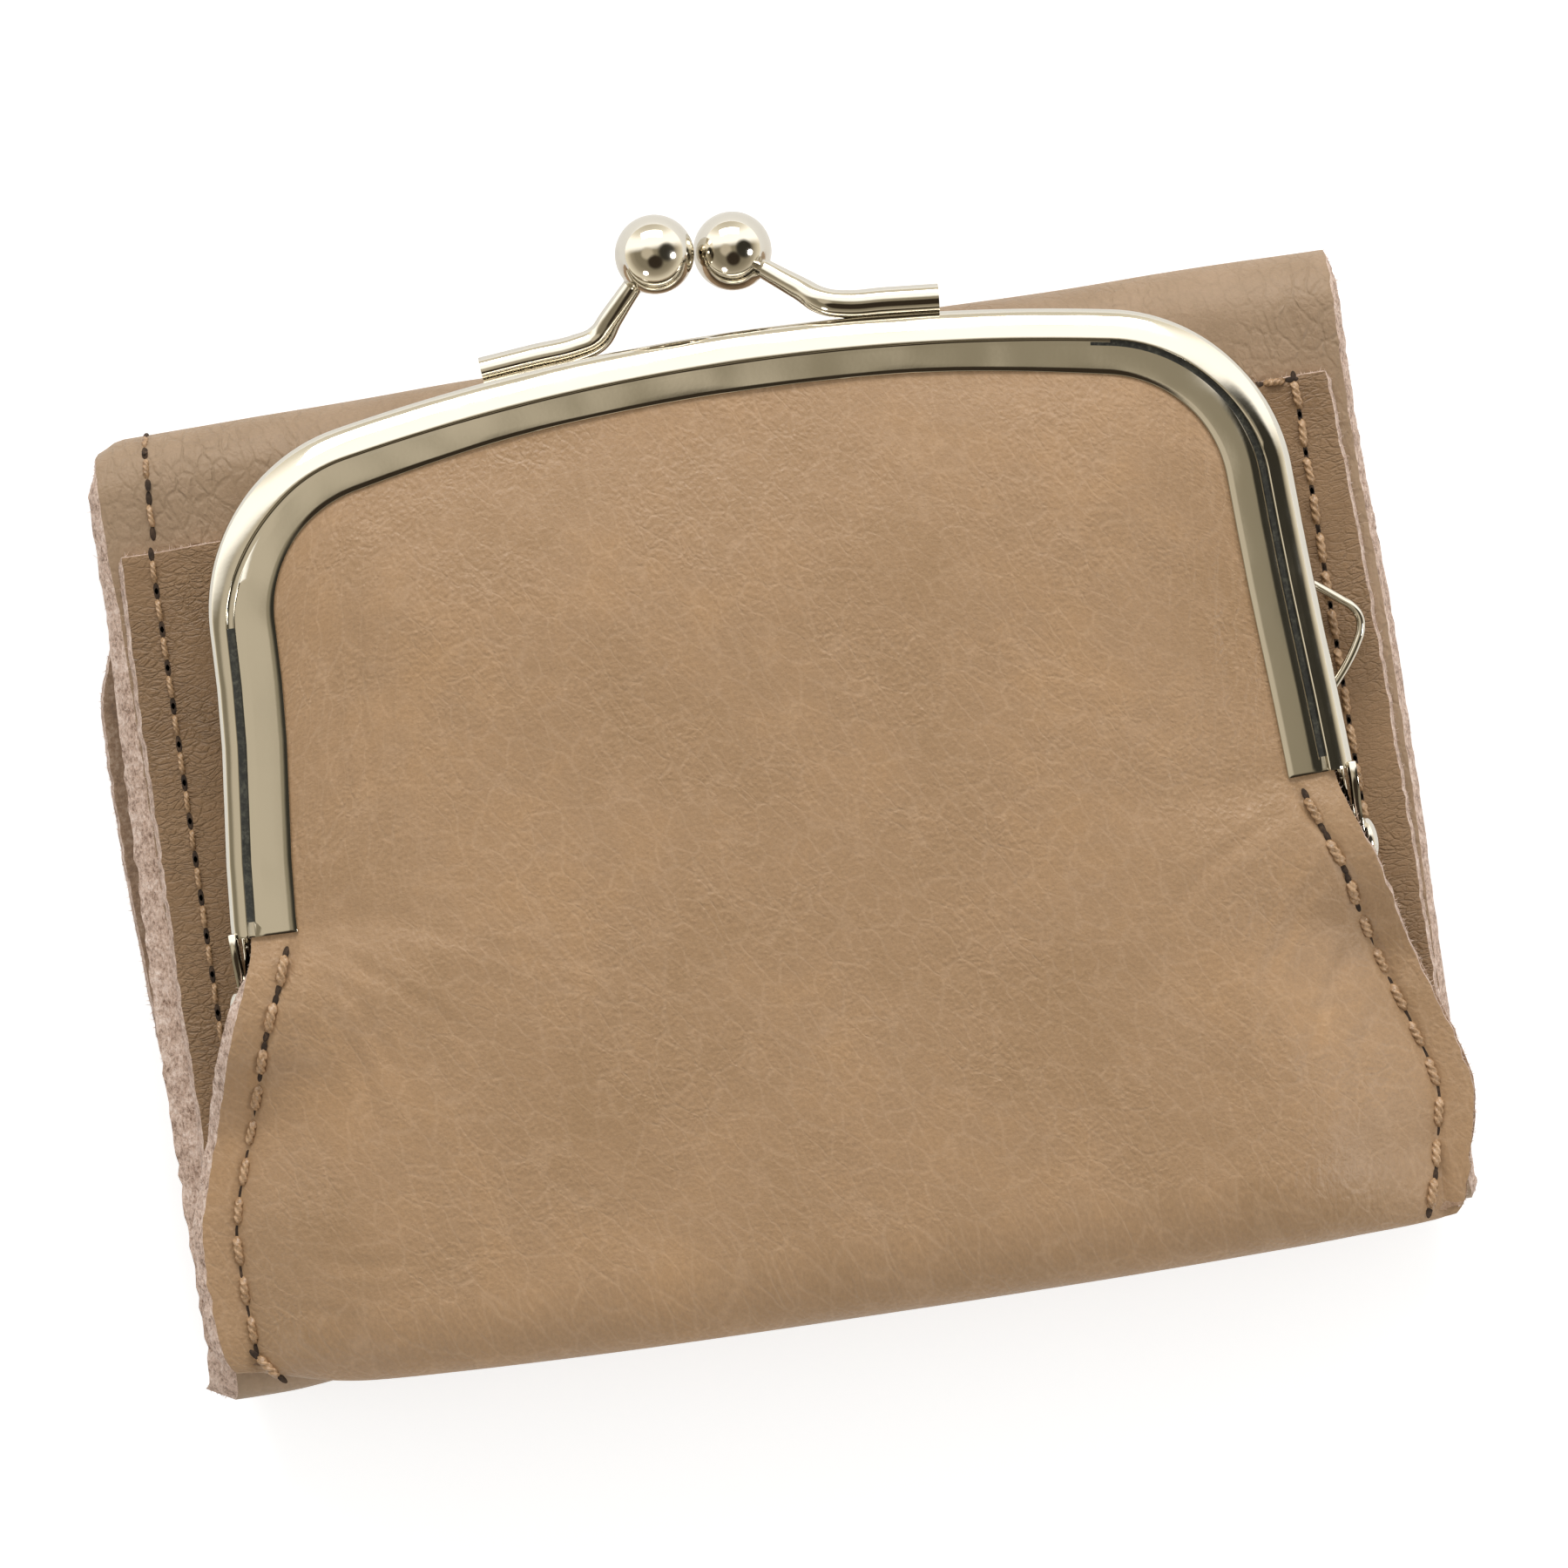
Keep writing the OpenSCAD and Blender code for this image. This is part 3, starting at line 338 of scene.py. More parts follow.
def close_mesh(gap):
    """Joins the points of the open mesh that are closer than a gap, turns its faces outwards and closes it."""
    bpy.ops.mesh.select_all(action="SELECT")
    bpy.ops.mesh.remove_doubles(threshold=gap * MM)
    bpy.ops.mesh.normals_make_consistent(inside=False)
    bpy.ops.object.mode_set(mode="OBJECT")


def modify(piece, kind, **settings):
    """Adds a modifier with its settings and applies it."""
    only(piece)
    made = piece.modifiers.new(kind.lower(), kind)
    for name, value in settings.items():
        setattr(made, name, value)
    bpy.ops.object.modifier_apply(modifier=made.name)


def bevel_edges(piece, width, angle):
    """Rounds the edges that are sharper than an angle."""
    modify(piece, "BEVEL", width=width * MM, segments=2, limit_method="ANGLE", angle_limit=math.radians(angle))


def smooth(piece, angle=40):
    only(piece)
    bpy.ops.object.shade_smooth_by_angle(angle=math.radians(angle))


def finish_piece(piece, slot, body=None, blend=None, replaces=()):
    """Applies a finished piece's transform, puts it on its body if it has one, and hides the parts it replaces. slot
    and blend are not used.
    """
    only(piece)
    bpy.ops.object.transform_apply(location=True, rotation=True, scale=True)
    if body:
        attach(piece, body)
    else:
        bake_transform(piece)
    if replaces:
        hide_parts(*replaces)


EDGE_BEVEL = 0.12
# Loose fibres on each mm2 of cut edge
FUZZ = 7.0
# Places of a sheet's materials after its grain side
FLESH_SIDE, CUT_EDGE = 1, 2


def leather_sheet(name, cols, rows, place, thickness, grain, slant=None):
    """A sheet of leather: a grid whose points place(u, v) puts at (point, pattern point) in millimetres, given its
    thickness away from its grain side, with the flesh side inside and raw cut edges. slant(u, v) is how far the
    flesh side reaches out past the grain side at an edge."""
    sheet = add(name, bpy.ops.mesh.primitive_grid_add, x_subdivisions=cols, y_subdivisions=rows, size=1)
    pattern, shares = [], []
    for vertex in sheet.data.vertices:
        u, v = vertex.co.x + 0.5, vertex.co.y + 0.5
        point, mark = place(u, v)
        vertex.co = Vector(point) * MM
        pattern.append(mark)
        shares.append((u, v))
    uv = sheet.data.uv_layers.active.data
    for loop in sheet.data.loops:
        uv[loop.index].uv = pattern[loop.vertex_index]
    for material in (grain, FLESH, RAW_EDGE):
        sheet.data.materials.append(material)
    modify(
        sheet, "SOLIDIFY", thickness=thickness * MM, offset=-1, use_even_offset=True, material_offset=FLESH_SIDE,
        material_offset_rim=CUT_EDGE,
    )
    points = sheet.data.vertices
    for i, (u, v) in enumerate(shares if slant else ()):
        inner_steps = []
        if min(u, 1 - u) < 0.2 / cols:
            inner_steps.append(1 if u < 0.5 else -1)
        if min(v, 1 - v) < 0.2 / rows:
            inner_steps.append((cols + 1) * (1 if v < 0.5 else -1))
        for step in inner_steps:
            out = (points[i].co - points[i + step].co).normalized()
            uneven = 1 + wobble(i * 0.4, 0, 2, 0.12) + wobble(i * 3.7, 0, 5, 0.1)
            points[i + len(shares)].co += out * MM * slant(u, v) * uneven
    bevel_edges(sheet, EDGE_BEVEL, 38)
    smooth(sheet, 60)
    add_fibres(sheet)
    return sheet


def add_fibres(sheet):
    """Loose ends of hide fibre standing out of a sheet's raw cut edges, joined to it."""
    rng = random.Random(len(sheet.data.vertices))
    places = []
    for face in sheet.data.polygons:
        if face.material_index != CUT_EDGE:
            continue
        amount = face.area / MM**2 * FUZZ
        corners = [sheet.data.vertices[i].co / MM for i in face.vertices]
        for _ in range(int(amount) + (rng.random() < amount % 1)):
            weights = [rng.random() for _ in corners]
            root = sum((c * w for c, w in zip(corners, weights)), Vector()) / sum(weights)
            lean = Vector([rng.uniform(-1.5, 1.5) for _ in range(3)])
            place = turned_to(root, face.normal + lean, (rng.random() + 0.1, rng.random(), rng.random()))
            length = rng.uniform(0.14, 0.6) * rng.uniform(0.4, 1.0)
            width = rng.uniform(0.016, 0.04)
            places.append(place @ Matrix.Diagonal((width, length, width, 1)))
    fibres = copies(sheet.name + "_fibres", FIBRE, places, LOOSE_FIBRE)
    only(sheet)
    fibres.select_set(True)
    bpy.ops.object.join()


def copies(name, pattern_piece, places, material):
    """One mesh of copies of a pattern piece, one for each matrix in millimetres."""
    points = [v.co.copy() for v in pattern_piece.data.vertices]
    faces = [list(p.vertices) for p in pattern_piece.data.polygons]
    all_points, all_faces = [], []
    for matrix in places:
        first = len(all_points)
        all_points += [matrix @ p * MM for p in points]
        all_faces += [[first + i for i in face] for face in faces]
    mesh = bpy.data.meshes.new(name)
    mesh.from_pydata(all_points, [], all_faces)
    piece = bpy.data.objects.new(name, mesh)
    bpy.context.scene.collection.objects.link(piece)
    mesh.materials.append(material)
    for polygon in mesh.polygons:
        polygon.use_smooth = True
    return piece


def turned_to(point, along, up):
    """Matrix that puts a pattern piece at a point, its Y along one direction and its Z towards another."""
    y = Vector(along).normalized()
    x = y.cross(Vector(up)).normalized()
    z = x.cross(y)
    return Matrix.Translation(Vector(point)) @ Matrix((x, y, z)).transposed().to_4x4()


# The purse frame's arch: two leaning legs, two corners and a shallow crown, as the part's source draws it. Its
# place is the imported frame's
CHANNEL_DEPTH = 4.9
CROWN_R = 180.0
CORNER_R = 15.0
LEG_LEAN = math.radians(1.8)
ARCH_HEIGHT = 41.4
ARCH_X = (low("rear_frame").x + high("rear_frame").x) / 2
ARCH_HALF = (high("rear_frame").x - low("rear_frame").x) / 2
LEG_Y = high("rear_frame").y - ARCH_HEIGHT
# Middle heights of the two halves' channels
FRONT_Z = 15.7
REAR_Z = 12.6
HINGE_Z = (FRONT_Z + REAR_Z) / 2
# How far the hinges lie below the legs' ends
HINGE_DROP = 6.0

# Middles of the circles of crown and corners, and where the straight legs end
CROWN_Y = ARCH_HEIGHT - CROWN_R
SLOPE = math.tan(LEG_LEAN)
CORNER_BASE = ARCH_HALF - CORNER_R / math.cos(LEG_LEAN)
# A corner touches the leg and the crown: its height solves SQUARE * y^2 - 2 * HALF_LINE * y + REST = 0
SQUARE = 1 + SLOPE * SLOPE
HALF_LINE = CORNER_BASE * SLOPE + CROWN_Y
REST = CORNER_BASE**2 + CROWN_Y**2 - (CROWN_R - CORNER_R) ** 2
CORNER_Y = (HALF_LINE + math.sqrt(HALF_LINE**2 - SQUARE * REST)) / SQUARE
CORNER_X = CORNER_BASE - CORNER_Y * SLOPE
CROWN_ANGLE = math.asin(CORNER_X / (CROWN_R - CORNER_R))
LEG_TOP_Y = CORNER_Y + CORNER_R * math.sin(LEG_LEAN)
LEG_LENGTH = LEG_TOP_Y / math.cos(LEG_LEAN)


def lean_in(x, y):
    """Where a point of the frame goes across the arch: the legs lean in further up, more at the left shoulder."""
    reach = 1.2 if x < 0 else 0.4
    return x - math.copysign(reach, x) * ease(y / 20) * ease(abs(x) / 40)


def arch_depth(x, y):
    """Distance inwards from the arch's outer rim, for a point given from the middle between the leg ends."""
    x = abs(x)
    angle = math.atan2(y - CORNER_Y, x - CORNER_X)
    if LEG_LEAN < angle < math.pi / 2 - CROWN_ANGLE:
        return CORNER_R - math.hypot(x - CORNER_X, y - CORNER_Y)
    from_leg = CORNER_R - (x - CORNER_X) * math.cos(LEG_LEAN) - (y - CORNER_Y) * math.sin(LEG_LEAN)
    return min(from_leg, CROWN_R - math.hypot(x, y - CROWN_Y))


# Leather leaves: heights of the layers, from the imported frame
COVER_T = high("flap_cover").z
FRONT_TOP = high("front_cover").z
PANEL_TOP = high("pocket_panel").z
TOP_FOLD_R = high("top_fold").z / 2
TOP_FOLD_Y = high("top_fold").y - TOP_FOLD_R
BOTTOM_FOLD_R = (high("bottom_fold").z - low("bottom_fold").z) / 2
BOTTOM_FOLD_Z = (high("bottom_fold").z + low("bottom_fold").z) / 2
BOTTOM_FOLD_Y = low("bottom_fold").y + BOTTOM_FOLD_R
# Where the cover strip is parted into two pieces, under the purse
COVER_SPLIT_Y = 12.0
PANEL_LIP_Y = high("pocket_panel").y
FLAP_FREE_Y = low("flap_cover").y
TUCK_FREE_Y = high("tuck_cover").y


def wobble(x, y, seed, amount):
    """A small uneven push, as a knife or a fibre leaves it."""
    return noise.noise(Vector((x, y, seed))) * amount


# Where the leaves' edges are in the photograph: height and place across, row by row from below
FRONT_LEFT = [(-45, -49.3), (-10, -49.35), (20, -49.3), (24, -49.5), (34, -49.5)]
FRONT_RIGHT = [(-45, 50.8), (-25, 50.8), (-10, 51.1), (5, 51.1), (20, 50.7), (34, 50.9)]
PANEL_LEFT = [(-44, -49.1), (-5, -48.9), (10, -48.7), (24, -48.4)]
PANEL_RIGHT = [(-44, 50.4), (-5, 50.2), (10, 49.8), (24, 49.3)]
TUCK_LEFT = [(-43, -50.9), (-38, -51.4), (-20, -51.15), (-2, -50.8)]
FLAP_LEFT = [
    (-43, -50.2), (-40, -51.6), (-25, -52.1), (-13, -52.9), (-8, -53.1), (0, -53.4), (10, -53.4), (14, -53.1),
    (18, -51.7), (20, -50.8), (34, -49.9),
]
FLAP_RIGHT = [
    (-43, 49.8), (-40.5, 51.0), (-25, 51.4), (-13, 51.9), (-3, 52.4), (5, 52.4), (12, 52.2), (20, 51.8), (34, 51.5),
]
# How far the frayed cut of the front leaf reaches out at the left, by height
FRONT_FRAY = [(-45, 2.3), (-12, 2.2), (0, 1.9), (12, 1.6), (25, 1.1), (34, 1.0)]
# Radius of the tuck leaf's corners
TUCK_CORNER = 2.4
# Two bodies beside a fold, and the points on them where its leather starts and ends
TOP_FOLD_BLEND = (
    "wallet", "flap", (0, TOP_FOLD_Y * MM, (FRONT_TOP - COVER_T) * MM), (0, TOP_FOLD_Y * MM, COVER_T * MM)
)
BOTTOM_FOLD_BLEND = (
    "wallet", "tuck", (0, BOTTOM_FOLD_Y * MM, (FRONT_TOP - COVER_T) * MM),
    (0, BOTTOM_FOLD_Y * MM, (BOTTOM_FOLD_Z - BOTTOM_FOLD_R + COVER_T) * MM),
)


def folded(s, run, fold_y, radius, way):
    """Y, height above the start, and turn of a strip after s: a run to a half-round fold, then back over or under
    it. way is 1 for a fold at the top and -1 for one at the bottom."""
    if s < run:
        return fold_y - way * (run - s), 0.0, 0.0
    turn = min((s - run) / radius, math.pi)
    if turn < math.pi:
        return fold_y + way * radius * math.sin(turn), way * radius * (1 - math.cos(turn)), turn
    return fold_y - way * (s - run - math.pi * radius), way * 2 * radius, math.pi


def at_end(share, reach):
    """1 at both ends of a span from -1 to 1, and 0 from a reach-th of its half inwards."""
    return 1 - ease((1 - abs(share)) * reach)


def back_cover():
    """Back flap, top fold and the upper part of the front leaf, one strip of leather."""
    flap_run = TOP_FOLD_Y - FLAP_FREE_Y
    fold_run = math.pi * TOP_FOLD_R
    whole = flap_run + fold_run + TOP_FOLD_Y - COVER_SPLIT_Y

    def place(u, v):
        s = v * whole
        y, z, turn = folded(s, flap_run, TOP_FOLD_Y, TOP_FOLD_R, 1)
        front_share = ease(turn / math.pi)
        left = lerp(follow(FLAP_LEFT, y), follow(FRONT_LEFT, y), front_share)
        right = lerp(follow(FLAP_RIGHT, y), follow(FRONT_RIGHT, y), front_share)
        x = lerp(right, left, u)
        crest = max(y - TOP_FOLD_Y, 0)
        slack = 0.09 * ease((-20 - x) / 30) + 0.2 * ease((-47.5 - x) / 2.5) - 0.09
        y += wobble(x * 0.08, s * 0.08, 3, 0.25) * ease(crest) - crest * slack
        x += wobble(s * 0.9, 0, 5 + u, 0.16) * at_end(2 * u - 1, 40)
        z += wobble(x * 0.06, s * 0.06, 9, 0.12) * math.sin(turn)
        return (x, y, z), (x, s)

    def slant(u, v):
        past_flap = v * whole - flap_run
        fray = follow(FRONT_FRAY, TOP_FOLD_Y - (past_flap - fold_run))
        return lerp(-0.4, fray if u > 0.5 else 0.7, ease(past_flap / fold_run))

    sheet = leather_sheet("cover_back", 130, 150, place, COVER_T, COVER_GRAIN, slant)
    finish_piece(
        sheet, "cover_leather", blend=TOP_FOLD_BLEND, replaces=("flap_cover", "top_fold", "front_cover"),
    )


def front_cover():
    """Lower part of the front leaf, the bottom fold and the tuck leaf, the other half of the same strip."""
    front_run = COVER_SPLIT_Y - BOTTOM_FOLD_Y
    fold_run = math.pi * BOTTOM_FOLD_R
    whole = front_run + fold_run + TUCK_FREE_Y - BOTTOM_FOLD_Y
    tuck_right = high("tuck_cover").x

    def place(u, v):
        s = (1 - v) * whole
        y, z, turn = folded(s, front_run, BOTTOM_FOLD_Y, BOTTOM_FOLD_R, -1)
        tuck_share = ease(turn / math.pi)
        near_end = max(TUCK_CORNER - (whole - s), 0) if turn == math.pi else 0
        inset = TUCK_CORNER - math.sqrt(max(TUCK_CORNER**2 - near_end**2, 0))
        left = lerp(follow(FRONT_LEFT, y), follow(TUCK_LEFT, y), tuck_share) + inset
        right = lerp(follow(FRONT_RIGHT, y), tuck_right, tuck_share) - inset
        x = lerp(left, right, u) + wobble(s * 0.9, 0, 15 + u, 0.18) * at_end(2 * u - 1, 40)
        y += (wobble(x * 0.1, s * 0.1, 13, 0.2) - 0.75 * ease((-x - 36) / 10)) * math.sin(turn)
        return (x, y, FRONT_TOP + z), (x, -s)

    def slant(u, v):
        s = (1 - v) * whole
        fray = follow(FRONT_FRAY, COVER_SPLIT_Y - s)
        return lerp(-0.7, fray if u < 0.5 else 0.7, 1 - ease((s - front_run) / fold_run * 2 - 1))

    sheet = leather_sheet("cover_front", 130, 120, place, COVER_T, COVER_GRAIN, slant)
    finish_piece(sheet, "cover_leather", blend=BOTTOM_FOLD_BLEND, replaces=("bottom_fold", "tuck_cover"))


def flat_leaf(name, node_name, left, right, body, slot, cols, rows, down=False):
    """A flat leaf of leather in the place of a node of the frame, with its grain side up or down."""
    low_y, high_y = low(node_name).y, high(node_name).y
    bottom_z, top_z = low(node_name).z, high(node_name).z

    def place(u, v):
        y = lerp(low_y, high_y, v)
        x = lerp(follow(left, y), follow(right, y), 1 - u if down else u)
        x += wobble(y * 0.9, 0, 25 + u + top_z, 0.2) * at_end(2 * u - 1, 40)
        lip = 1 - ease((high_y - y) / 1.5)
        y += wobble(x * 0.12, 0, 27 + top_z, 0.25) * lip
        return (x, y, bottom_z if down else top_z), (x, y)

    def slant(u, v):
        if down:
            return 0.0
        return (0.5 if u < 0.5 else 0.42) if 0.01 < v < 0.99 else 0.12

    sheet = leather_sheet(name, cols, rows, place, top_z - bottom_z, POCKET_GRAIN, slant)
    finish_piece(sheet, slot, body=body, replaces=(node_name,))


def leaves():
    back_cover()
    front_cover()
    flat_leaf("front_pocket", "pocket_panel", PANEL_LEFT, PANEL_RIGHT, "wallet", "cover_leather", 130, 90)
    for name, node_name, body, rows, down in (
        ("bill_compartment_liner", "bill_liner", "wallet", 40, True),
        ("flap_pocket", "flap_card_pocket", "flap", 50, False),
        ("tuck_pocket", "tuck_card_pocket", "tuck", 40, False),
    ):
        left, right = [(0, low(node_name).x)], [(0, high(node_name).x)]
        flat_leaf(name, node_name, left, right, body, "lining_leather", 100, rows, down)


# The purse bag: half widths at the left and right and its lowest edge, from the middle between the leg ends, as the
# arch is given
BAG_LEFT = [
    (-37.5, 47.0), (-35.4, 49.0), (-34.0, 50.3), (-32.3, 50.9), (-29.8, 51.1), (-25.8, 51.2), (-22.3, 50.9),
    (-16.8, 49.2), (-12.3, 47.6), (-7.8, 45.9), (-5.5, 44.9), (-3.8, 44.2), (-1.5, 43.4), (0.0, 43.15),
]
BAG_RIGHT = [
    (-37.5, 46.6), (-36.8, 47.4), (-35.9, 48.2), (-34.6, 48.9), (-31.2, 49.8), (-27.3, 50.6), (-25.3, 50.5),
    (-21.8, 49.6), (-16.3, 47.9), (-10.8, 46.3), (-7.8, 45.5), (-5.5, 44.7), (-3.8, 44.1), (-1.5, 43.4), (0.0, 43.15),
]
BAG_BOTTOM = [
    (-51, -34.2), (-48, -34.6), (-43, -35.7), (-38.9, -36.2), (-20.9, -36.9), (0, -37.15), (20, -37.15),
    (39, -36.85), (47, -36.7), (51, -35.9),
]
# How far in from the arch's rim the leather ends
LEATHER_IN_CHANNEL = 1.7
PURSE_T = 0.9
# Height on which the bag sits, and of the top of its bulge
BAG_SEAT = low("purse_front_lower").z
CROWN_TOP = high("purse_front_lower").z
# Height of the front leather's grain side at the channel, and at the side seams
EDGE_TOP = 16.5
SEAM_TOP = 12.95
# Where the front leather starts to turn round the bag's bottom, and between which heights it bends at the hinges
ROUND_Y = -30.8
HINGE_SEAM_Y, HINGE_TOP_Y = -11.4, -0.3
SEAM_INSET = 2.8
# Height of the front leather's side edge below the legs: over the hinges, then down to the seam
SIDE_EDGE = [
    (-60, SEAM_TOP), (-16, SEAM_TOP), (-12.5, 14.2), (-9.5, 16.2), (-6.5, 17.2), (-3.4, 17.2), (-1, 16.7),
    (0, EDGE_TOP),
]
HINGE_BLEND = (
    "wallet", "front_half", (0, (LEG_Y + HINGE_SEAM_Y) * MM, HINGE_Z * MM),
    (0, (LEG_Y + HINGE_TOP_Y) * MM, HINGE_Z * MM),
)


def bag_half(side, y):
    """Half width of the leather on one side at a height, inside the arch or below it."""
    if y > 0:
        inner = CORNER_R - LEATHER_IN_CHANNEL
        return CORNER_X + inner * math.cos(LEG_LEAN) + max(LEG_TOP_Y - y, 0) * SLOPE
    return follow(BAG_LEFT if side < 0 else BAG_RIGHT, y)


def leather_top(x):
    """Height of the leather's upper edge inside the arch."""
    x = abs(x)
    inner = CROWN_R - LEATHER_IN_CHANNEL
    if x < inner * math.sin(CROWN_ANGLE):
        return CROWN_Y + math.sqrt(inner**2 - x * x)
    inner = CORNER_R - LEATHER_IN_CHANNEL
    return CORNER_Y + math.sqrt(max(inner**2 - (x - CORNER_X) ** 2, 0))


def in_arch(share, side, up):
    """Point of the leather inside the arch, at a share of its half width and of its height."""
    y = lerp(0.0, leather_top(share * bag_half(side, 0.5)), up)
    return share * bag_half(side, y), y


# Folds that stand out in the purse's front, each with three points and its depth
FOLDS = [
    ((45.2, -4.6), (38.5, -9.2), (34.2, -17.0), 0.16),
    ((46.0, -10.4), (39.6, -15.6), (36.6, -25.0), 0.17),
    ((46.6, -16.0), (41.2, -21.6), (39.6, -28.6), 0.14),
    ((41.2, -2.0), (33.4, -4.0), (28.6, -9.6), 0.1),
    ((36.8, -12.8), (33.8, -17.4), (35.4, -24.2), 0.1),
    ((43.6, -13.0), (41.0, -17.0), (40.0, -21.5), 0.1),
    ((-37.4, -2.2), (-31.8, -4.8), (-27.0, -11.2), 0.11),
    ((-37.8, -3.4), (-34.0, -8.4), (-32.0, -15.2), 0.1),
    ((-34.0, 0.6), (-26.4, -3.0), (-18.6, -6.0), 0.06),
    ((-38.0, -7.0), (-35.6, -12.0), (-35.4, -18.0), 0.1),
    ((-31.6, 24.8), (-33.4, 16.6), (-32.2, 8.8), 0.09),
    ((-29.4, 25.8), (-31.6, 17.4), (-29.8, 10.2), 0.06),
    ((-34.0, 23.6), (-35.4, 15.6), (-34.6, 6.8), 0.08),
    ((-42.4, -25.6), (-38.0, -27.4), (-35.0, -27.0), 0.1),
    ((-44.6, -29.4), (-40.4, -30.6), (-37.2, -32.0), 0.1),
    ((38.4, 22.0), (36.4, 14.0), (36.6, 4.0), 0.1),
]
# Half width of such a fold
FOLD_WIDTH = 0.55
# Puckers that fan out from a place on the side seam: side, height, reach and depth
PUCKERS = [(-1, -8, 8, 0.12), (1, -18, 13, 0.34), (1, -8, 8, 0.16), (-1, -22, 8, 0.2)]


def fold_lines():
    """Each fold's curve as short pieces, with its box for a quick test."""
    lines = []
    for a, b, c, depth in FOLDS:
        points = []
        for i in range(11):
            t = i / 10
            curve = [lerp(lerp(a[k], b[k], t), lerp(b[k], c[k], t), t) for k in (0, 1)]
            curve[0] += wobble(curve[1] * 0.35, curve[0] * 0.2, a[0], 0.7)
            points.append(Vector(curve))
        xs, ys = [p.x for p in points], [p.y for p in points]
        lines.append((points, depth, min(xs) - 2, max(xs) + 2, min(ys) - 2, max(ys) + 2))
    return lines


FOLD_LINES = fold_lines()


def creases(x, y):
    """Folds that are large enough to be real shape: slow waves, pulls beside the frame, puckers at the seams."""
    z = wobble(x * 0.045, y * 0.045, 1, 0.4) + wobble(x * 0.11, y * 0.11, 4, 0.07)
    z += wobble((x * 0.53 + y * 0.85) * 0.42, (x * 0.85 - y * 0.53) * 0.13, 11, 0.045)
    left_pull = ease((-24 - x) / 8) * ease((x + 42) / 4) * ease((y + 8) / 10) * ease((32 - y) / 8)
    z += left_pull * wobble(x * 0.55, y * 0.06, 7, 0.1)
    here = Vector((x, y))
    for points, depth, low_x, high_x, low_y, high_y in FOLD_LINES:
        if not (low_x < x < high_x and low_y < y < high_y):
            continue
        best, share = 9.0, 0.0
        for i in range(len(points) - 1):
            run = points[i + 1] - points[i]
            t = min(max((here - points[i]).dot(run) / run.dot(run), 0), 1)
            gap = (here - points[i] - run * t).length
            if gap < best:
                best, share = gap, (i + t) / (len(points) - 1)
        fade = math.sin(math.pi * min(max(share, 0.03), 0.97)) ** 0.6
        z -= depth * fade * math.exp(-((best / FOLD_WIDTH) ** 2))
        z += depth * 0.55 * fade * math.exp(-(((best - 1.1) / 0.6) ** 2))
    for side, height, reach, amount in PUCKERS:
        away = math.hypot((x - side * bag_half(side, height)) * 0.8, y - height)
        if away < reach:
            fan = math.atan2(y - height, abs(x - side * bag_half(side, height)) + 1.5) * 9
            z += (1 - ease(away / reach)) * wobble(fan, away * 0.12, 17 + height, amount)
    return z


# How far in from its edge the leather goes on rising, inside the arch and at the bag's bottom
BULGE_RUN = 19.0
LOW_BULGE_RUN = 13.0
# How far the groove beside the seam sinks in
SEAM_GROOVE = 0.3


def front_z(x, y):
    """Height of the front leather's grain side."""
    if y >= 0:
        edge, run = EDGE_TOP, BULGE_RUN
        inside = arch_depth(x, y) - CHANNEL_DEPTH - 0.2
    else:
        lower = ease(-y / 7)
        edge, run = follow(SIDE_EDGE, y), lerp(BULGE_RUN, LOW_BULGE_RUN, lower)
        inside = bag_half(-1 if x < 0 else 1, y) - abs(x) - lerp(CHANNEL_DEPTH - 1.5, SEAM_INSET, lower)
    rise = max(ease(0.5 + 0.5 * inside / run) * 2 - 1, 0.0) if inside > 0 else 0.0
    groove = math.exp(-((inside / 0.5) ** 2)) * SEAM_GROOVE * ease(-y / 2)
    return edge + (CROWN_TOP - 0.25 - edge) * rise + creases(x, y) * ease(inside / 4) - groove


def column_share(u):
    """Closer columns towards both sides."""
    return math.sin((u - 0.5) * math.pi) * 0.6 + (u * 2 - 1) * 0.4


def purse_front():
    """Front leather of the purse: round the bag's bottom, up the front and into the front channel."""
    # Lengths round the bottom and up the front, and the shares of the sheet and of its front part that lie lower
    round_run, front_run = 11.0, 70.0
    bend, below_arch = round_run / (round_run + front_run), 0.44

    def place(u, v):
        share = column_share(u)
        side = -1 if share < 0 else 1
        t = (v - bend) / (1 - bend)
        if v < bend:
            angle = math.pi * (1 - v / bend)
            bottom = follow(BAG_BOTTOM, share * bag_half(side, ROUND_Y))
            x = share * bag_half(side, ROUND_Y + (bottom - ROUND_Y) * math.sin(angle))
            y = ROUND_Y + (follow(BAG_BOTTOM, x) - ROUND_Y) * math.sin(angle)
            z = lerp(BAG_SEAT, front_z(x, ROUND_Y), (1 + math.cos(angle)) / 2)
        elif t < below_arch:
            y = lerp(ROUND_Y, 0.0, t / below_arch)
            x = share * bag_half(side, y)
            z = front_z(x, y)
        else:
            x, y = in_arch(share, side, (t - below_arch) / (1 - below_arch))
            z = front_z(x, y)
        if y < -2:
            x += wobble(y * 0.8, 0, 31 + side, 0.22) * at_end(share, 30)
        return (lean_in(x, y) + ARCH_X, y + LEG_Y, z), (x, v * (round_run + front_run))

    def slant(u, v):
        if v <= bend * 0.7:
            return 0.2
        return (0.85 if u < 0.5 else 0.15) * (1 - ease((v - bend) / (1 - bend) / below_arch * 8 - 6.6))

    sheet = leather_sheet("purse_front_leather", 216, 168, place, PURSE_T, PURSE_GRAIN, slant)
    finish_piece(
        sheet, "purse_leather", blend=HINGE_BLEND,
        replaces=("purse_front_lower", "purse_front_crease", "purse_front_upper"),
    )


# Height of the rear leather's grain side, which looks down, in its channel, and its half width below the legs
REAR_LEATHER_Z = 11.67
REAR_HALF = 43.0


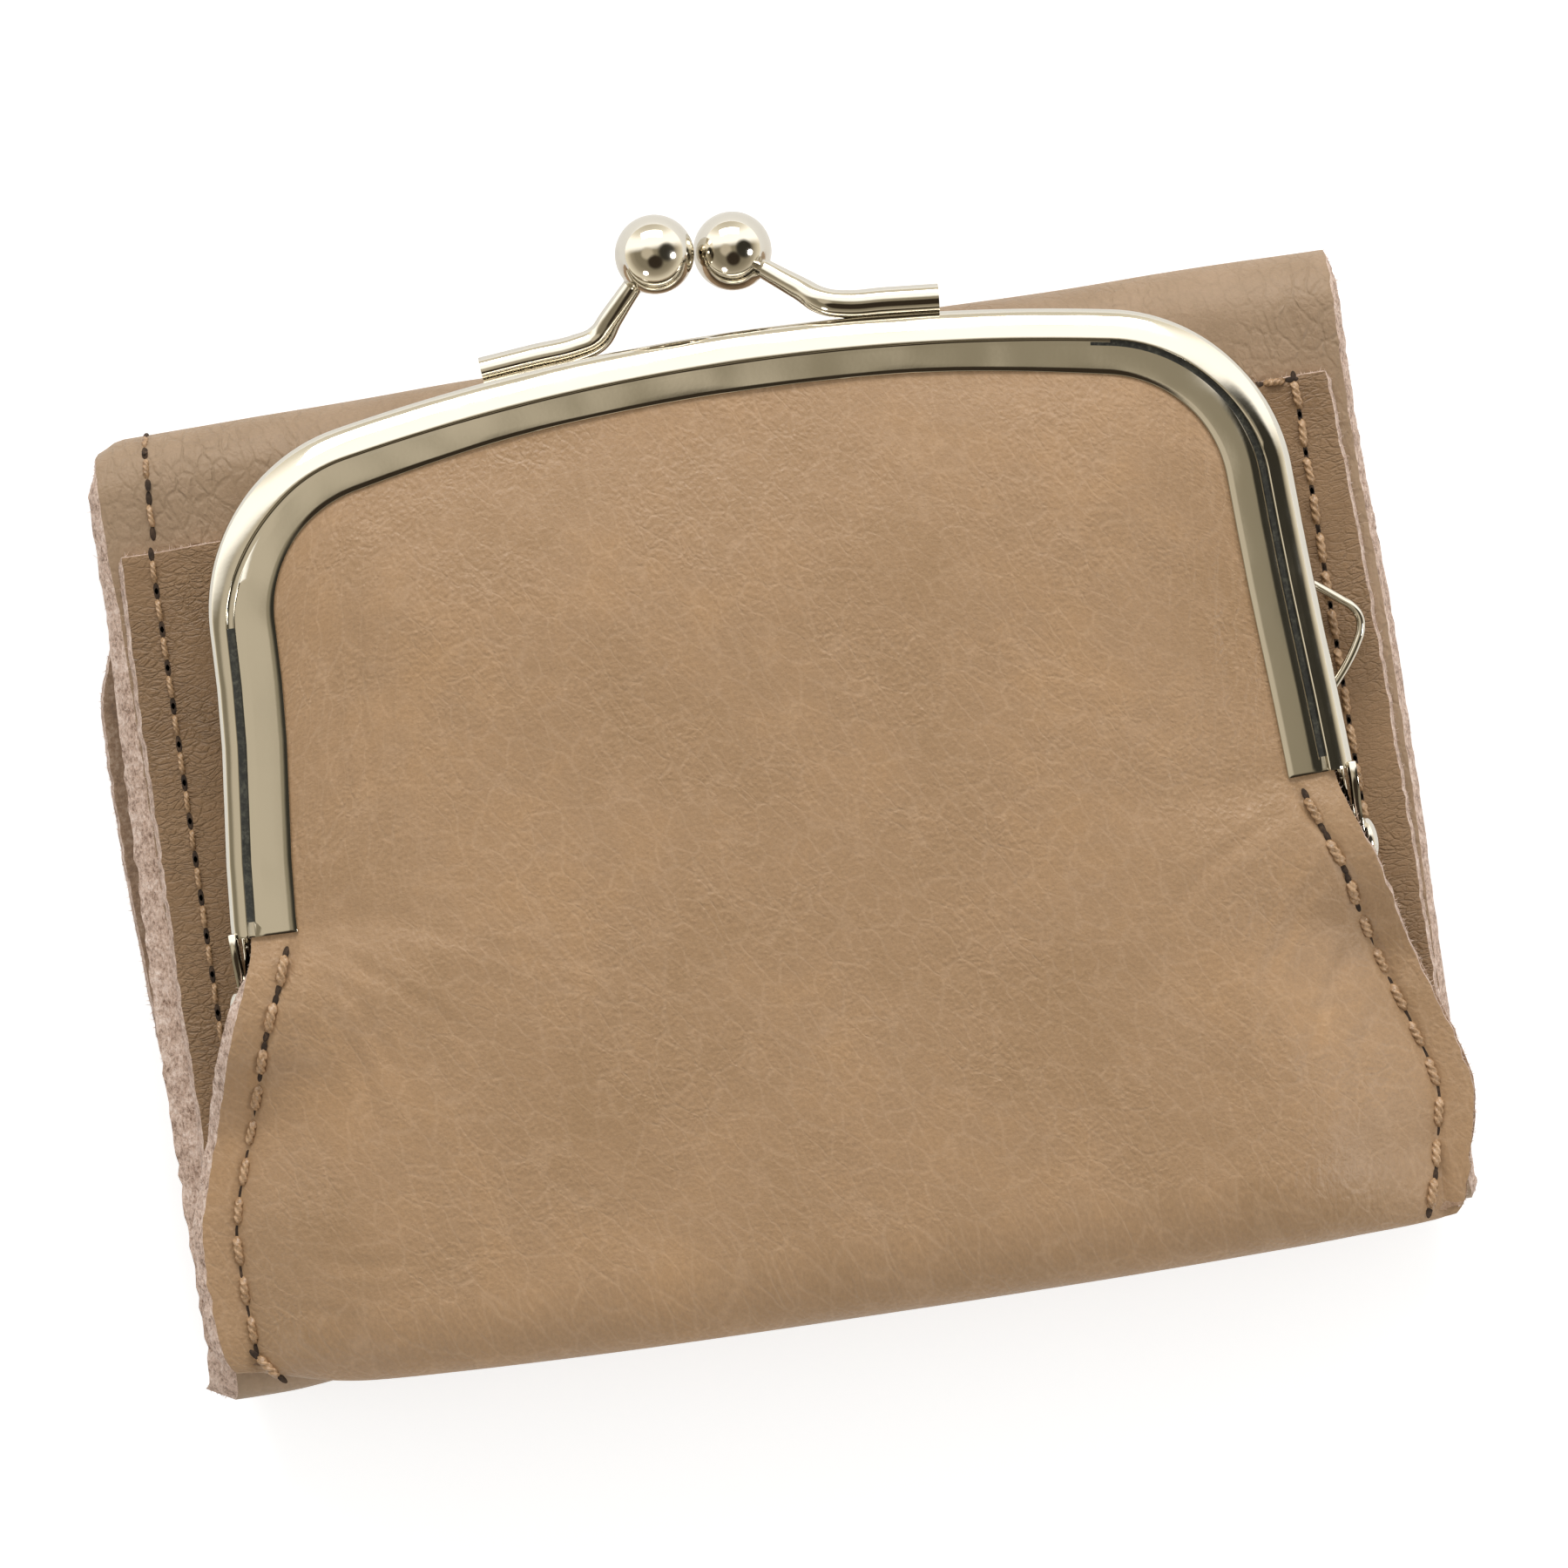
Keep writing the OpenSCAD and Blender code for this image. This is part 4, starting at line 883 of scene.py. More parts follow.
def purse_back():
    """Rear leather of the purse, its flesh side towards the coins, from the bottom seam into the rear channel."""
    below_arch = 0.43

    def place(u, v):
        share = 1 - 2 * u
        side = -1 if share < 0 else 1
        if v < below_arch:
            y = lerp(ROUND_Y + 0.1, 0.0, v / below_arch)
            half = bag_half(side, y) + (0.55 if side < 0 else 0.3)
            x = share * lerp(half, REAR_HALF, ease((y + 8.6) / 0.6))
        else:
            x, y = in_arch(share, side, (v - below_arch) / (1 - below_arch))
        near_hinge = ease((abs(x) - 40.5) / 3.5) * ease((-8.2 - y) / 1.2) * ease((y + 15.5) / 5.5)
        z = lerp(BAG_SEAT, REAR_LEATHER_Z, ease((y + 11) / 11)) + near_hinge * 2.0
        if y < -9:
            x += wobble(y * 0.8, 0, 41 + side, 0.25) * at_end(share, 30)
        return (lean_in(x, y) + ARCH_X, y + LEG_Y, z), (x, y)

    sheet = leather_sheet("purse_back_leather", 110, 90, place, PURSE_T, PURSE_GRAIN)
    finish_piece(sheet, "purse_leather", body="wallet", replaces=("purse_rear",))


# Metal parts

# Section of the frame's channel at its crown: depth inwards from the rim, height above the channel's middle
CHANNEL_OUTSIDE = [
    (0.0, 0.0), (0.03, 0.22), (0.1, 0.42), (0.2, 0.58), (0.34, 0.74), (0.5, 0.87), (0.7, 1.0), (0.95, 1.13),
    (1.22, 1.25), (1.52, 1.36), (1.8, 1.445), (2.05, 1.51), (2.3, 1.565), (2.45, 1.59), (2.5, 1.585), (2.53, 1.5),
    (2.55, 1.3), (2.57, 1.18), (2.62, 1.157), (2.72, 1.155), (2.82, 1.155), (2.92, 1.155), (3.0, 1.155),
    (3.1, 1.155), (3.5, 1.16), (4.05, 1.155), (4.45, 1.15), (4.74, 1.13), (4.81, 1.08), (4.84, 0.95),
]
CHANNEL_INSIDE = [
    (4.82, 0.8), (4.7, 0.75), (3.4, 0.8), (2.4, 0.8), (1.7, 0.8), (1.0, 0.7), (0.55, 0.42), (0.4, 0.0),
]
# What becomes of it on the straight legs, left and right: a narrower bead, a groove beside it and a wider flange.
# Rows are depth at the crown, depth on the leg and, for the outer face, height on the leg
LEG_DEPTH = {
    -1: [(0, 0), (0.34, 0.36), (0.95, 0.74), (2.3, 1.36), (2.5, 1.44), (2.57, 1.48), (2.62, 1.55), (3.0, 2.08),
         (3.1, 2.16), (4.84, 5.4)],
    1: [(0, 0), (0.34, 0.36), (0.95, 0.85), (2.3, 1.95), (2.5, 2.05), (2.57, 2.1), (2.62, 2.18), (3.0, 2.66),
        (3.1, 2.8), (4.84, 5.35)],
}
LEG_HEIGHT = {
    -1: [(0.34, 0.74), (0.5, 0.84), (0.95, 0.93), (1.52, 0.99), (2.3, 1.04), (2.5, 1.03), (2.57, 0.95), (2.62, 0.91),
         (2.92, 0.9), (3.0, 0.98), (3.1, 1.14), (3.5, 1.168), (4.05, 1.152), (4.45, 1.168), (4.74, 1.14),
         (4.81, 1.08), (4.84, 0.95)],
    1: [(0.34, 0.74), (0.5, 0.9), (0.95, 1.2), (1.52, 1.42), (2.3, 1.5), (2.5, 1.4), (2.57, 1.1), (2.62, 0.93),
        (2.92, 0.93), (3.0, 1.02), (3.1, 1.12), (3.5, 1.16), (4.05, 1.157), (4.45, 1.15), (4.74, 1.13), (4.81, 1.08),
        (4.84, 0.95)],
}
# Depths between which the groove of the legs lies
GROOVE_FROM, GROOVE_TO = 2.56, 3.06
# Depth where the flange starts, and its width
FLANGE_FROM, FLANGE_W = 3.0, 1.84
# How much wider the flange gets from the crown's middle to the corners
FLANGE_GAIN = 0.5
# The halves face each other with 0.1 mm between them, so the bead is flattened on that side
FACING_HEIGHT = 1.5


def inwards(x, y):
    """Direction inwards from the rim at a point of the arch, given from the middle between the leg ends."""
    side, x = (-1 if x < 0 else 1), abs(x)
    angle = math.atan2(y - CORNER_Y, x - CORNER_X)
    if LEG_LEAN < angle < math.pi / 2 - CROWN_ANGLE:
        way = Vector((CORNER_X - x, CORNER_Y - y))
    elif angle <= LEG_LEAN:
        way = Vector((-math.cos(LEG_LEAN), -math.sin(LEG_LEAN)))
    else:
        way = Vector((-x, CROWN_Y - y))
    way.normalize()
    return Vector((side * way.x, way.y))


def on_line(table, x):
    """Value at x on the straight lines through the table's (x, value) rows."""
    for (x0, y0), (x1, y1) in zip(table, table[1:]):
        if x <= x1:
            return lerp(y0, y1, (x - x0) / (x1 - x0))
    return table[-1][1]


def arch_mesh(name, z, section):
    """A section drawn at the left leg's end and taken up the leg, round the arch and down the right leg."""
    piece = add(name, bpy.ops.mesh.primitive_circle_add, vertices=len(section), radius=1, fill_type="NGON")
    foot = Vector((ARCH_X - ARCH_HALF, LEG_Y, z))
    across = Vector((math.cos(LEG_LEAN), -math.sin(LEG_LEAN), 0))
    for vertex, (d, h) in zip(piece.data.vertices, section):
        vertex.co = (foot + across * d + Vector((0, 0, h))) * MM
    open_mesh(piece)
    # Short steps near a leg's end, so that its rounded edge doesn't bend the light further up
    lengths = [0.25, 0.95] + [(LEG_LENGTH - 1.2) / 5] * 5
    corner_turn = math.pi / 2 - CROWN_ANGLE - LEG_LEAN

    def extrude(length, way):
        move = Vector((math.sin(LEG_LEAN), way * math.cos(LEG_LEAN), 0)) * length * MM
        bpy.ops.mesh.extrude_region_move(TRANSFORM_OT_translate={"value": move})

    def spin(x, y, angle, steps):
        middle = Vector((x + ARCH_X, y + LEG_Y, z)) * MM
        bpy.ops.mesh.spin(steps=steps, angle=angle, center=middle, axis=(0, 0, 1))

    for length in lengths:
        extrude(length, 1)
    spin(-CORNER_X, CORNER_Y, corner_turn, 26)
    spin(0, CROWN_Y, 2 * CROWN_ANGLE, 40)
    spin(CORNER_X, CORNER_Y, corner_turn, 26)
    for length in reversed(lengths):
        extrude(length, -1)
    close_mesh(0.001)
    return piece


def channel(name, z):
    """The pressed channel of one frame half: the crown's section round the whole arch, then reshaped on the legs."""
    outside, inside = CHANNEL_OUTSIDE, CHANNEL_INSIDE
    below = [(d, -h) for d, h in inside[-2::-1] + outside[:0:-1]]
    piece = arch_mesh(name, z, outside + inside + below)
    shaded_groove_points = set()
    for vertex in piece.data.vertices:
        x, y, height = vertex.co / MM - Vector((ARCH_X, LEG_Y, z))
        depth, side = arch_depth(x, y), (-1 if x < 0 else 1)
        on_leg = ease((CORNER_Y + 10 - y) / 11)
        on_flange = (depth - FLANGE_FROM) / FLANGE_W
        tall = abs(height)
        # The outer face, not the inner one nor the rim
        if tall > 0.82 and depth > 0.36:
            if on_flange > 0:
                tall -= (0.08 + wobble(x * 0.09, 0, 51, 0.2)) * (1 - on_leg) * on_flange
            leg_height = on_line(LEG_HEIGHT[side], depth)
            if GROOVE_FROM < depth < GROOVE_TO:
                leg_height = lerp(1.1, leg_height, ease((y - 0.5) / 0.6))
                if 1 < y < CORNER_Y + (12.4 if side > 0 else 1):
                    shaded_groove_points.add(vertex.index)
            tall = lerp(tall, leg_height, on_leg)
        if (HINGE_Z - z) * height > 0:
            tall = min(tall, FACING_HEIGHT)
        gain = FLANGE_GAIN * ease((abs(x) - 14) / 22) * min(max(on_flange, 0), 1)
        move = lerp(gain, on_line(LEG_DEPTH[side], depth) - depth, on_leg)
        x, y = Vector((x, y)) + inwards(x, y) * move
        vertex.co = Vector((lean_in(x, y) + ARCH_X, y + LEG_Y, math.copysign(tall, height) + z)) * MM
    piece.data.materials.append(NICKEL)
    # Faces whose points all lie in the groove get the dark painted shade
    piece.data.materials.append(GROOVE_SHADE)
    for face in piece.data.polygons:
        face.material_index = int(all(i in shaded_groove_points for i in face.vertices))
    return piece


# Hinge ears: thickness, width, and how far from the middle their inner faces are
EAR_T = 0.6
EAR_W = 3.4
REAR_EAR_X = 43.66
FRONT_EAR_X = 44.33


def ear(x, z, side):
    """A hinge ear: a round eye drawn up into a neck that goes into the leg."""
    piece = add("ear", bpy.ops.mesh.primitive_circle_add, vertices=40, radius=1, fill_type="NGON")
    for vertex in piece.data.vertices:
        a, b = vertex.co.x, vertex.co.y
        y, height = b * EAR_W / 2, a * EAR_W / 2
        if b > 0.05:
            y = (4.9 if b > 0.85 else lerp(1.0, 4.6, b)) + 1.6 * b
            half = lerp(EAR_W / 2, 1.2, ease(b * 1.1)) * (1 if a >= 0 else -1) * min(abs(a) * 3, 1)
            height = (z - HINGE_Z) * ease(b * 1.2) + half
        vertex.co = Vector((ARCH_X + side * (x + EAR_T / 2), LEG_Y - HINGE_DROP + y, HINGE_Z + height)) * MM
    piece.data.materials.append(NICKEL)
    modify(piece, "SOLIDIFY", thickness=EAR_T * MM, offset=0)
    bevel_edges(piece, 0.12, 50)
    return piece


def frame_half(name, z, ear_x, body, node_name):
    """One half of the kiss-lock frame: the channel and its two ears."""
    whole = channel(name, z)
    ears = [ear(ear_x, z, side) for side in (-1, 1)]
    only(whole)
    for piece in ears:
        piece.select_set(True)
    bpy.ops.object.join()
    bevel_edges(whole, 0.06, 60)
    smooth(whole)
    finish_piece(whole, "nickel", body=body, replaces=(node_name,))


def lathe(name, profile, centre, turn=0, steps=40):
    """A turned piece: a profile of (radius, height) points spun about an upright line through its centre, then
    turned about Y."""
    piece = add(name, bpy.ops.mesh.primitive_circle_add, vertices=len(profile), radius=1, fill_type="NOTHING")
    for vertex, (r, h) in zip(piece.data.vertices, profile):
        vertex.co = Vector((r, 0, h)) * MM
    open_mesh(piece)
    bpy.ops.mesh.spin(steps=steps, angle=2 * math.pi, center=(0, 0, 0), axis=(0, 0, 1))
    close_mesh(0.002)
    piece.rotation_euler = (0, math.radians(turn), 0)
    piece.location = Vector(centre) * MM
    smooth(piece, 35)
    piece.data.materials.append(NICKEL)
    return piece


RIVET_HEAD_R, RIVET_HEAD_H = 2.1, 0.96


def rivets():
    """Hinge rivets: a domed head outside, a shank through both ears and a small flat head inside."""
    outer = FRONT_EAR_X + EAR_T + 0.05
    inner = REAR_EAR_X - 0.05
    angles = [math.radians(i * 9) for i in range(9)]
    profile = [
        (0.0, inner - 0.4), (1.2, inner - 0.4), (1.4, inner - 0.28), (1.4, inner), (0.8, inner), (0.8, outer),
        (2.0, outer),
        *[(RIVET_HEAD_R * math.cos(a), outer + 0.14 + RIVET_HEAD_H * math.sin(a)) for a in angles],
        (0.0, outer + 0.14 + RIVET_HEAD_H),
    ]
    for side, name in ((-1, "left_rivet"), (1, "right_rivet")):
        piece = lathe(name + "_turned", profile, (ARCH_X, LEG_Y - HINGE_DROP, HINGE_Z), 90 * side)
        finish_piece(piece, "nickel", body="wallet", replaces=(name,))


def wire(name, points, depth, radii=None, material=None):
    """A round wire or bar of a radius, depth, along points in millimetres, with closed ends. radii are shares of
    the radius at the points."""
    curve = add(name, bpy.ops.curve.primitive_bezier_curve_add, radius=1)
    knots = curve.data.splines[0].bezier_points
    knots.add(len(points) - len(knots))
    for knot, place, r in zip(knots, points, radii or [1.0] * len(points)):
        knot.co = Vector(place) * MM
        knot.handle_left_type = knot.handle_right_type = "AUTO"
        knot.radius = r
    curve.data.dimensions = "3D"
    curve.data.bevel_depth = depth * MM
    curve.data.bevel_resolution = 6
    curve.data.resolution_u = 10
    curve.data.use_fill_caps = True
    only(curve)
    bpy.ops.object.convert(target="MESH")
    piece = bpy.context.object
    piece.data.materials.clear()
    piece.data.materials.append(material or NICKEL)
    return piece


BALL_D = 6.3
ROD_D = 2.3
# Where a rod leaves the rim, from the frame's middle
ROD_BEND = 9.6


def clasp(side, body, arm_node, ball_node):
    """One ball of the clasp, and its rod along the rim, bent up at the end to carry it."""
    centre = (low(ball_node) + high(ball_node)) / 2 - Vector((0.16, 0.4, 0) if side > 0 else (0, 0, 0))
    # The rods are cut off at different lengths, and the right one lies a little closer to the rim
    cut_x, lift = (18.1, -0.1) if side > 0 else (18.6, 0.0)

    def on_rim(x, more=0.0):
        radius = CROWN_R + ROD_D / 2 + lift + more
        return Vector((ARCH_X + side * x, LEG_Y + CROWN_Y + math.sqrt(radius**2 - x * x), HINGE_Z + side * 1.55))

    aim = (centre - on_rim(ROD_BEND)).normalized()
    first = on_rim(ROD_BEND) + Vector((-side * 0.55, 0.5, 0))
    toe = centre - aim * (BALL_D / 2 + 1.2)
    tip = centre - aim * (BALL_D / 2 - 0.25)
    rod = [on_rim(cut_x), on_rim((cut_x + ROD_BEND) / 2), on_rim(ROD_BEND + 1.2, 0.05)]
    points = rod + [first, lerp(first, toe, 0.5), toe, tip]
    arm = wire(arm_node + "_bent", points, ROD_D / 2, [1.0, 1.0, 0.98, 0.94, 0.82, 0.74, 0.7])
    bevel_edges(arm, 0.12, 60)
    smooth(arm)
    finish_piece(arm, "nickel", body=body, replaces=(arm_node,))
    sphere = {"segments": 64, "ring_count": 40, "radius": BALL_D / 2 * MM}
    ball = add(ball_node + "_turned", bpy.ops.mesh.primitive_uv_sphere_add, **sphere)
    # Drawn out a little towards the rod that is soldered to it
    for vertex in ball.data.vertices:
        towards = -vertex.co.normalized().dot(aim)
        vertex.co -= aim * (0.22 * MM) * ease((towards - 0.94) / 0.05)
    ball.location = centre * MM
    smooth(ball, 60)
    ball.data.materials.append(NICKEL)
    finish_piece(ball, "nickel", body=body, replaces=(ball_node,))


def strap_loop():
    """Wire loop for a wrist strap, bent to a rounded point and soldered to the rear half's right leg."""
    points = [
        (44.8, 8.1, 0), (45.8, 7.35, 0), (47.3, 6.15, 0.08), (48.15, 5.4, 0.12), (48.58, 4.55, 0.12),
        (48.52, 3.5, 0.12), (48.08, 2.55, 0.1), (47.1, 1.05, 0.05), (45.9, -0.4, 0), (45.1, -1.3, 0),
    ]
    loop = wire("strap_loop_wire", [(x, y, REAR_Z + lift) for x, y, lift in points], 0.35)
    smooth(loop, 50)
    finish_piece(loop, "nickel", body="wallet", replaces=("strap_loop",))


def paper_cords():
    """Twisted paper pressed into the channels beside the leather."""
    inset = (CHANNEL_DEPTH + 1.5) / 2
    corner_r = CORNER_R - inset
    half = []
    for i in range(9):
        y = LEG_TOP_Y * i / 8
        half.append((-(CORNER_X + corner_r) - (LEG_TOP_Y - y) * SLOPE, y))
    for i in range(1, 12):
        a = math.pi - LEG_LEAN - (math.pi / 2 - CROWN_ANGLE - LEG_LEAN) * i / 12
        half.append((-CORNER_X + corner_r * math.cos(a), CORNER_Y + corner_r * math.sin(a)))
    for i in range(25):
        x = lerp(-CORNER_X - 3, 0, i / 24)
        half.append((x, CROWN_Y + math.sqrt((CROWN_R - inset) ** 2 - x * x)))
    half = [p for i, p in enumerate(half) if i == 0 or p[0] > half[i - 1][0] - 1]
    for name, body in (("rear_paper_cord", "wallet"), ("front_paper_cord", "front_half")):
        z = (low(name).z + high(name).z) / 2
        line = [(lean_in(x, y) + ARCH_X, y + LEG_Y, z) for x, y in half + [(-x, y) for x, y in half[-2::-1]]]
        cord = wire(name + "_twisted", line, 0.4, material=PAPER)
        smooth(cord, 60)
        finish_piece(cord, "paper_cord", body=body, replaces=(name,))


def snap():
    """Snap fastener: the socket's rolled ring on the flap, and the stud on the tuck leaf with its back plate."""
    ring_low, ring_high = low("snap_socket"), high("snap_socket")
    middle = (ring_low + ring_high) / 2
    h = ring_high.z - ring_low.z
    profile = [
        (2.4, 0.0), (5.3, 0.0), (5.5, 0.12), (5.5, 0.5), (5.3, 0.7), (4.5, 0.82), (4.1, 1.0), (3.9, h - 0.2),
        (3.6, h), (3.0, h), (2.6, h - 0.18), (2.4, h - 0.5),
    ]
    ring = lathe("snap_socket_ring", profile, (middle.x, middle.y, ring_low.z), steps=48)
    finish_piece(ring, "nickel", body="flap", replaces=("snap_socket",))
    # The stud's length below the tuck leaf, and the height of its riveted end inside the leather
    stud_z = low("snap_stud").z
    drop = low("tuck_cover").z - stud_z
    end = drop + COVER_T - 0.01
    profile = [
        (0.0, 0.0), (0.9, 0.03), (1.35, 0.2), (1.75, 0.55), (1.9, 0.95), (1.6, drop - 0.6), (1.75, drop - 0.4),
        (4.2, drop - 0.35), (4.5, drop - 0.2), (4.5, drop), (1.9, drop), (1.9, end), (0.0, end),
    ]
    stud = lathe("snap_stud_turned", profile, (middle.x, middle.y, stud_z), steps=48)
    finish_piece(stud, "nickel", body="tuck", replaces=("snap_stud",))
    for plate in ("snap_socket_plate", "snap_stud_plate"):
        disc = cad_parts[plate]
        disc.data.materials.clear()
        disc.data.materials.append(NICKEL)


# Stitches: the thread's width, a stitch's length and the distance between two
THREAD_W = 0.68
STITCH_L = 2.55
PITCH = 3.05


def fibre_pattern():
    """One loose fibre, 1 long and 1 thick: a thin three-sided spike with a bend in it, from Y 0 to Y 1."""
    cone = {"vertices": 3, "radius1": 1, "radius2": 0.25, "depth": 1, "end_fill_type": "NOTHING"}
    piece = add("fibre_pattern", bpy.ops.mesh.primitive_cone_add, **cone)
    open_mesh(piece)
    bpy.ops.mesh.bisect(plane_co=(0, 0, 0), plane_no=(0, 0, 1))
    bpy.ops.object.mode_set(mode="OBJECT")
    for vertex in piece.data.vertices:
        up = vertex.co.z + 0.5
        vertex.co = Vector((vertex.co.x + 5 * up * (1 - up), up, vertex.co.y))
    return piece


def stitch_pattern():
    """One stitch: three strands twisted together, dipping into the leather at both ends."""
    rod = {"vertices": 12, "radius": 1, "depth": 1, "end_fill_type": "NGON"}
    piece = add("stitch_pattern", bpy.ops.mesh.primitive_cylinder_add, **rod)
    open_mesh(piece)
    for i in range(1, 9):
        bpy.ops.mesh.select_all(action="SELECT")
        bpy.ops.mesh.bisect(plane_co=(0, 0, i / 9 - 0.5), plane_no=(0, 0, 1))
    bpy.ops.object.mode_set(mode="OBJECT")
    for vertex in piece.data.vertices:
        share = vertex.co.z
        angle = math.atan2(vertex.co.y, vertex.co.x)
        strand = 0.62 + 0.46 * abs(math.cos(1.5 * angle))
        thin = 1 - ease((abs(share) - 0.36) / 0.14) * 0.4
        r = math.hypot(vertex.co.x, vertex.co.y) * strand * thin * THREAD_W / 2
        angle += share * math.radians(440)
        sink = ease((abs(share) - 0.24) / 0.26) * 0.4
        vertex.co = Vector((r * math.cos(angle), share * STITCH_L, r * math.sin(angle) * 0.9 - sink + 0.2))
    return piece


def hole_pattern():
    """One needle hole between two stitches: a small oval that carries the hole's painted shade, raised a little so
    that it shows on the leather.
    """
    piece = add("hole_pattern", bpy.ops.mesh.primitive_circle_add, vertices=12, radius=1, fill_type="NGON")
    open_mesh(piece)
    bpy.ops.mesh.inset(thickness=0.3)
    bpy.ops.object.mode_set(mode="OBJECT")
    for vertex in piece.data.vertices:
        inner = math.hypot(vertex.co.x, vertex.co.y) < 0.8
        vertex.co = Vector((vertex.co.x * 0.25, vertex.co.y * 0.6, 0.025 if inner else -0.06))
    return piece


def along(points, pitch):
    """Points and directions at even steps along a line of points."""
    lengths = [0.0]
    for a, b in zip(points, points[1:]):
        lengths.append(lengths[-1] + (Vector(b) - Vector(a)).length)
    count = max(int(lengths[-1] / pitch), 1)
    step = lengths[-1] / count
    out = []
    for k in range(count):
        s = (k + 0.5) * step
        i = max(j for j in range(len(lengths) - 1) if lengths[j] <= s)
        a, b = Vector(points[i]), Vector(points[i + 1])
        share = (s - lengths[i]) / max(lengths[i + 1] - lengths[i], 1e-6)
        out.append((a.lerp(b, share), (b - a).normalized()))
    return out


def stitch_rows(name, lines, seed, replaces=(), size=(1, 1, 1), ups=None, **joint):
    """Stitches and their needle holes along lines. ups has a direction away from the leather for each line, size is
    how wide, long and high the stitches are beside the open side's, and joint is their body, or a blend, which is not
    used."""
    rng = random.Random(seed)
    thread_places, hole_places = [], []
    for line, up in zip(lines, ups or [(0, 0, 1)] * len(lines)):
        for point, way in along(line, PITCH):
            tilt = Matrix.Rotation(math.radians(rng.uniform(-5, 5)), 4, Vector(up))
            place = turned_to(point, tilt.to_3x3() @ way, up)
            thread_places.append(place @ Matrix.Diagonal((*size, 1)) @ Matrix.Scale(rng.uniform(0.94, 1.04), 4))
            for end in (-1, 1):
                hole_places.append(turned_to(point + way * end * PITCH * 0.46, way, up))
    finish_piece(copies(name, STITCH, thread_places, THREAD), "thread", replaces=replaces, **joint)
    finish_piece(copies(name + "_holes", NEEDLE_HOLE, hole_places, HOLE_SHADE), "thread", **joint)


def seam_line(side, from_y, to_y, steps):
    """The purse's side seam on its front leather, from one height to another."""
    line = []
    for i in range(steps + 1):
        y = lerp(from_y, to_y, i / steps)
        x = side * (bag_half(side, y) - SEAM_INSET)
        top = front_z(x, max(y, ROUND_Y))
        if y < ROUND_Y:
            round_share = (y - ROUND_Y) / (follow(BAG_BOTTOM, x) - ROUND_Y)
            top -= (top - BAG_SEAT) / 2 * (1 - math.sqrt(max(1 - round_share**2, 0)))
        line.append((x + ARCH_X, y + LEG_Y, top + 0.04))
    return line


CLOSED_X, OPEN_X = -45.9, 46.6
FINE_STITCH = (0.68, 0.7, 0.8)
PURSE_STITCH = (1.14, 1.0, 1.14)
# Middles of the two stitches that go over the top fold, and half their span, in degrees from straight up
FOLD_STITCHES, FOLD_STITCH_HALF = (22, 60), 17


def sewing():
    x, on_front, on_panel = CLOSED_X, FRONT_TOP + 0.1, PANEL_TOP + 0.05
    rows = [
        [(x + 0.2, PANEL_LIP_Y + 0.5, on_front), (x + 0.4, TOP_FOLD_Y + 0.4, on_front)],
        [(x - 0.6, BOTTOM_FOLD_Y, on_panel), (x, PANEL_LIP_Y, on_panel)],
    ]
    stitch_rows("closed_side_seam", rows, 2, ("closed_side_stitches",), FINE_STITCH, body="wallet")

    def over_fold(degrees, radius):
        a = math.radians(degrees)
        return Vector((0, math.sin(a), math.cos(a))) * radius

    fold = Vector((x + 0.45, TOP_FOLD_Y, TOP_FOLD_R))
    rows = [
        [fold + over_fold(middle + end * FOLD_STITCH_HALF, TOP_FOLD_R + 0.12) for end in (-1, 1)]
        for middle in FOLD_STITCHES
    ]
    ups = [over_fold(middle, 1) for middle in FOLD_STITCHES]
    stitch_rows("closed_side_seam_over_fold", rows, 8, (), FINE_STITCH, ups, blend=TOP_FOLD_BLEND)

    x, lip = OPEN_X, PANEL_LIP_Y - 0.25
    rows = [[(x + 0.4, BOTTOM_FOLD_Y, PANEL_TOP), (x, PANEL_LIP_Y, PANEL_TOP)]]
    stitch_rows("open_side_seam", rows, 3, ("open_side_stitches",), body="wallet")
    rows = [[(x - 2.7, lip, on_panel), (x - 0.5, lip, on_panel)]]
    stitch_rows("open_side_back_tack", rows, 9, (), (0.9, 0.7, 0.9), body="wallet")

    # The purse's seams end where the leather has turned round the bag's bottom, further round at the right
    rows = [seam_line(side, ROUND_Y - past, HINGE_SEAM_Y, 40) for side, past in ((-1, 4.4), (1, 5.2))]
    stitch_rows("purse_side_seams", rows, 4, ("purse_seam_stitches",), PURSE_STITCH, body="wallet")
    rows = [seam_line(side, HINGE_SEAM_Y, -1.2, 20) for side in (-1, 1)]
    stitch_rows("purse_hinge_seams", rows, 5, ("purse_crease_stitches",), PURSE_STITCH, blend=HINGE_BLEND)

    lo, hi = low("purse_base_stitches"), high("purse_base_stitches")
    y = (lo.y + hi.y) / 2
    rows = [[(lo.x, y, lo.z), (hi.x, y, lo.z)]]
    stitch_rows("purse_base_seam", rows, 6, ("purse_base_stitches",), body="wallet")
    for body, way in (("flap", 1), ("tuck", -1)):
        node_name = body + "_stitches"
        lo, hi = low(node_name), high(node_name)
        z = lo.z if way > 0 else hi.z
        rows = [[(x, lo.y, z), (x, hi.y, z)] for x in (lo.x + 0.35, hi.x - 0.35)]
        stitch_rows(body + "_pocket_seams", rows, 7, (node_name,), ups=[(0, 0, way)] * 2, body=body)


# Light, floor and background


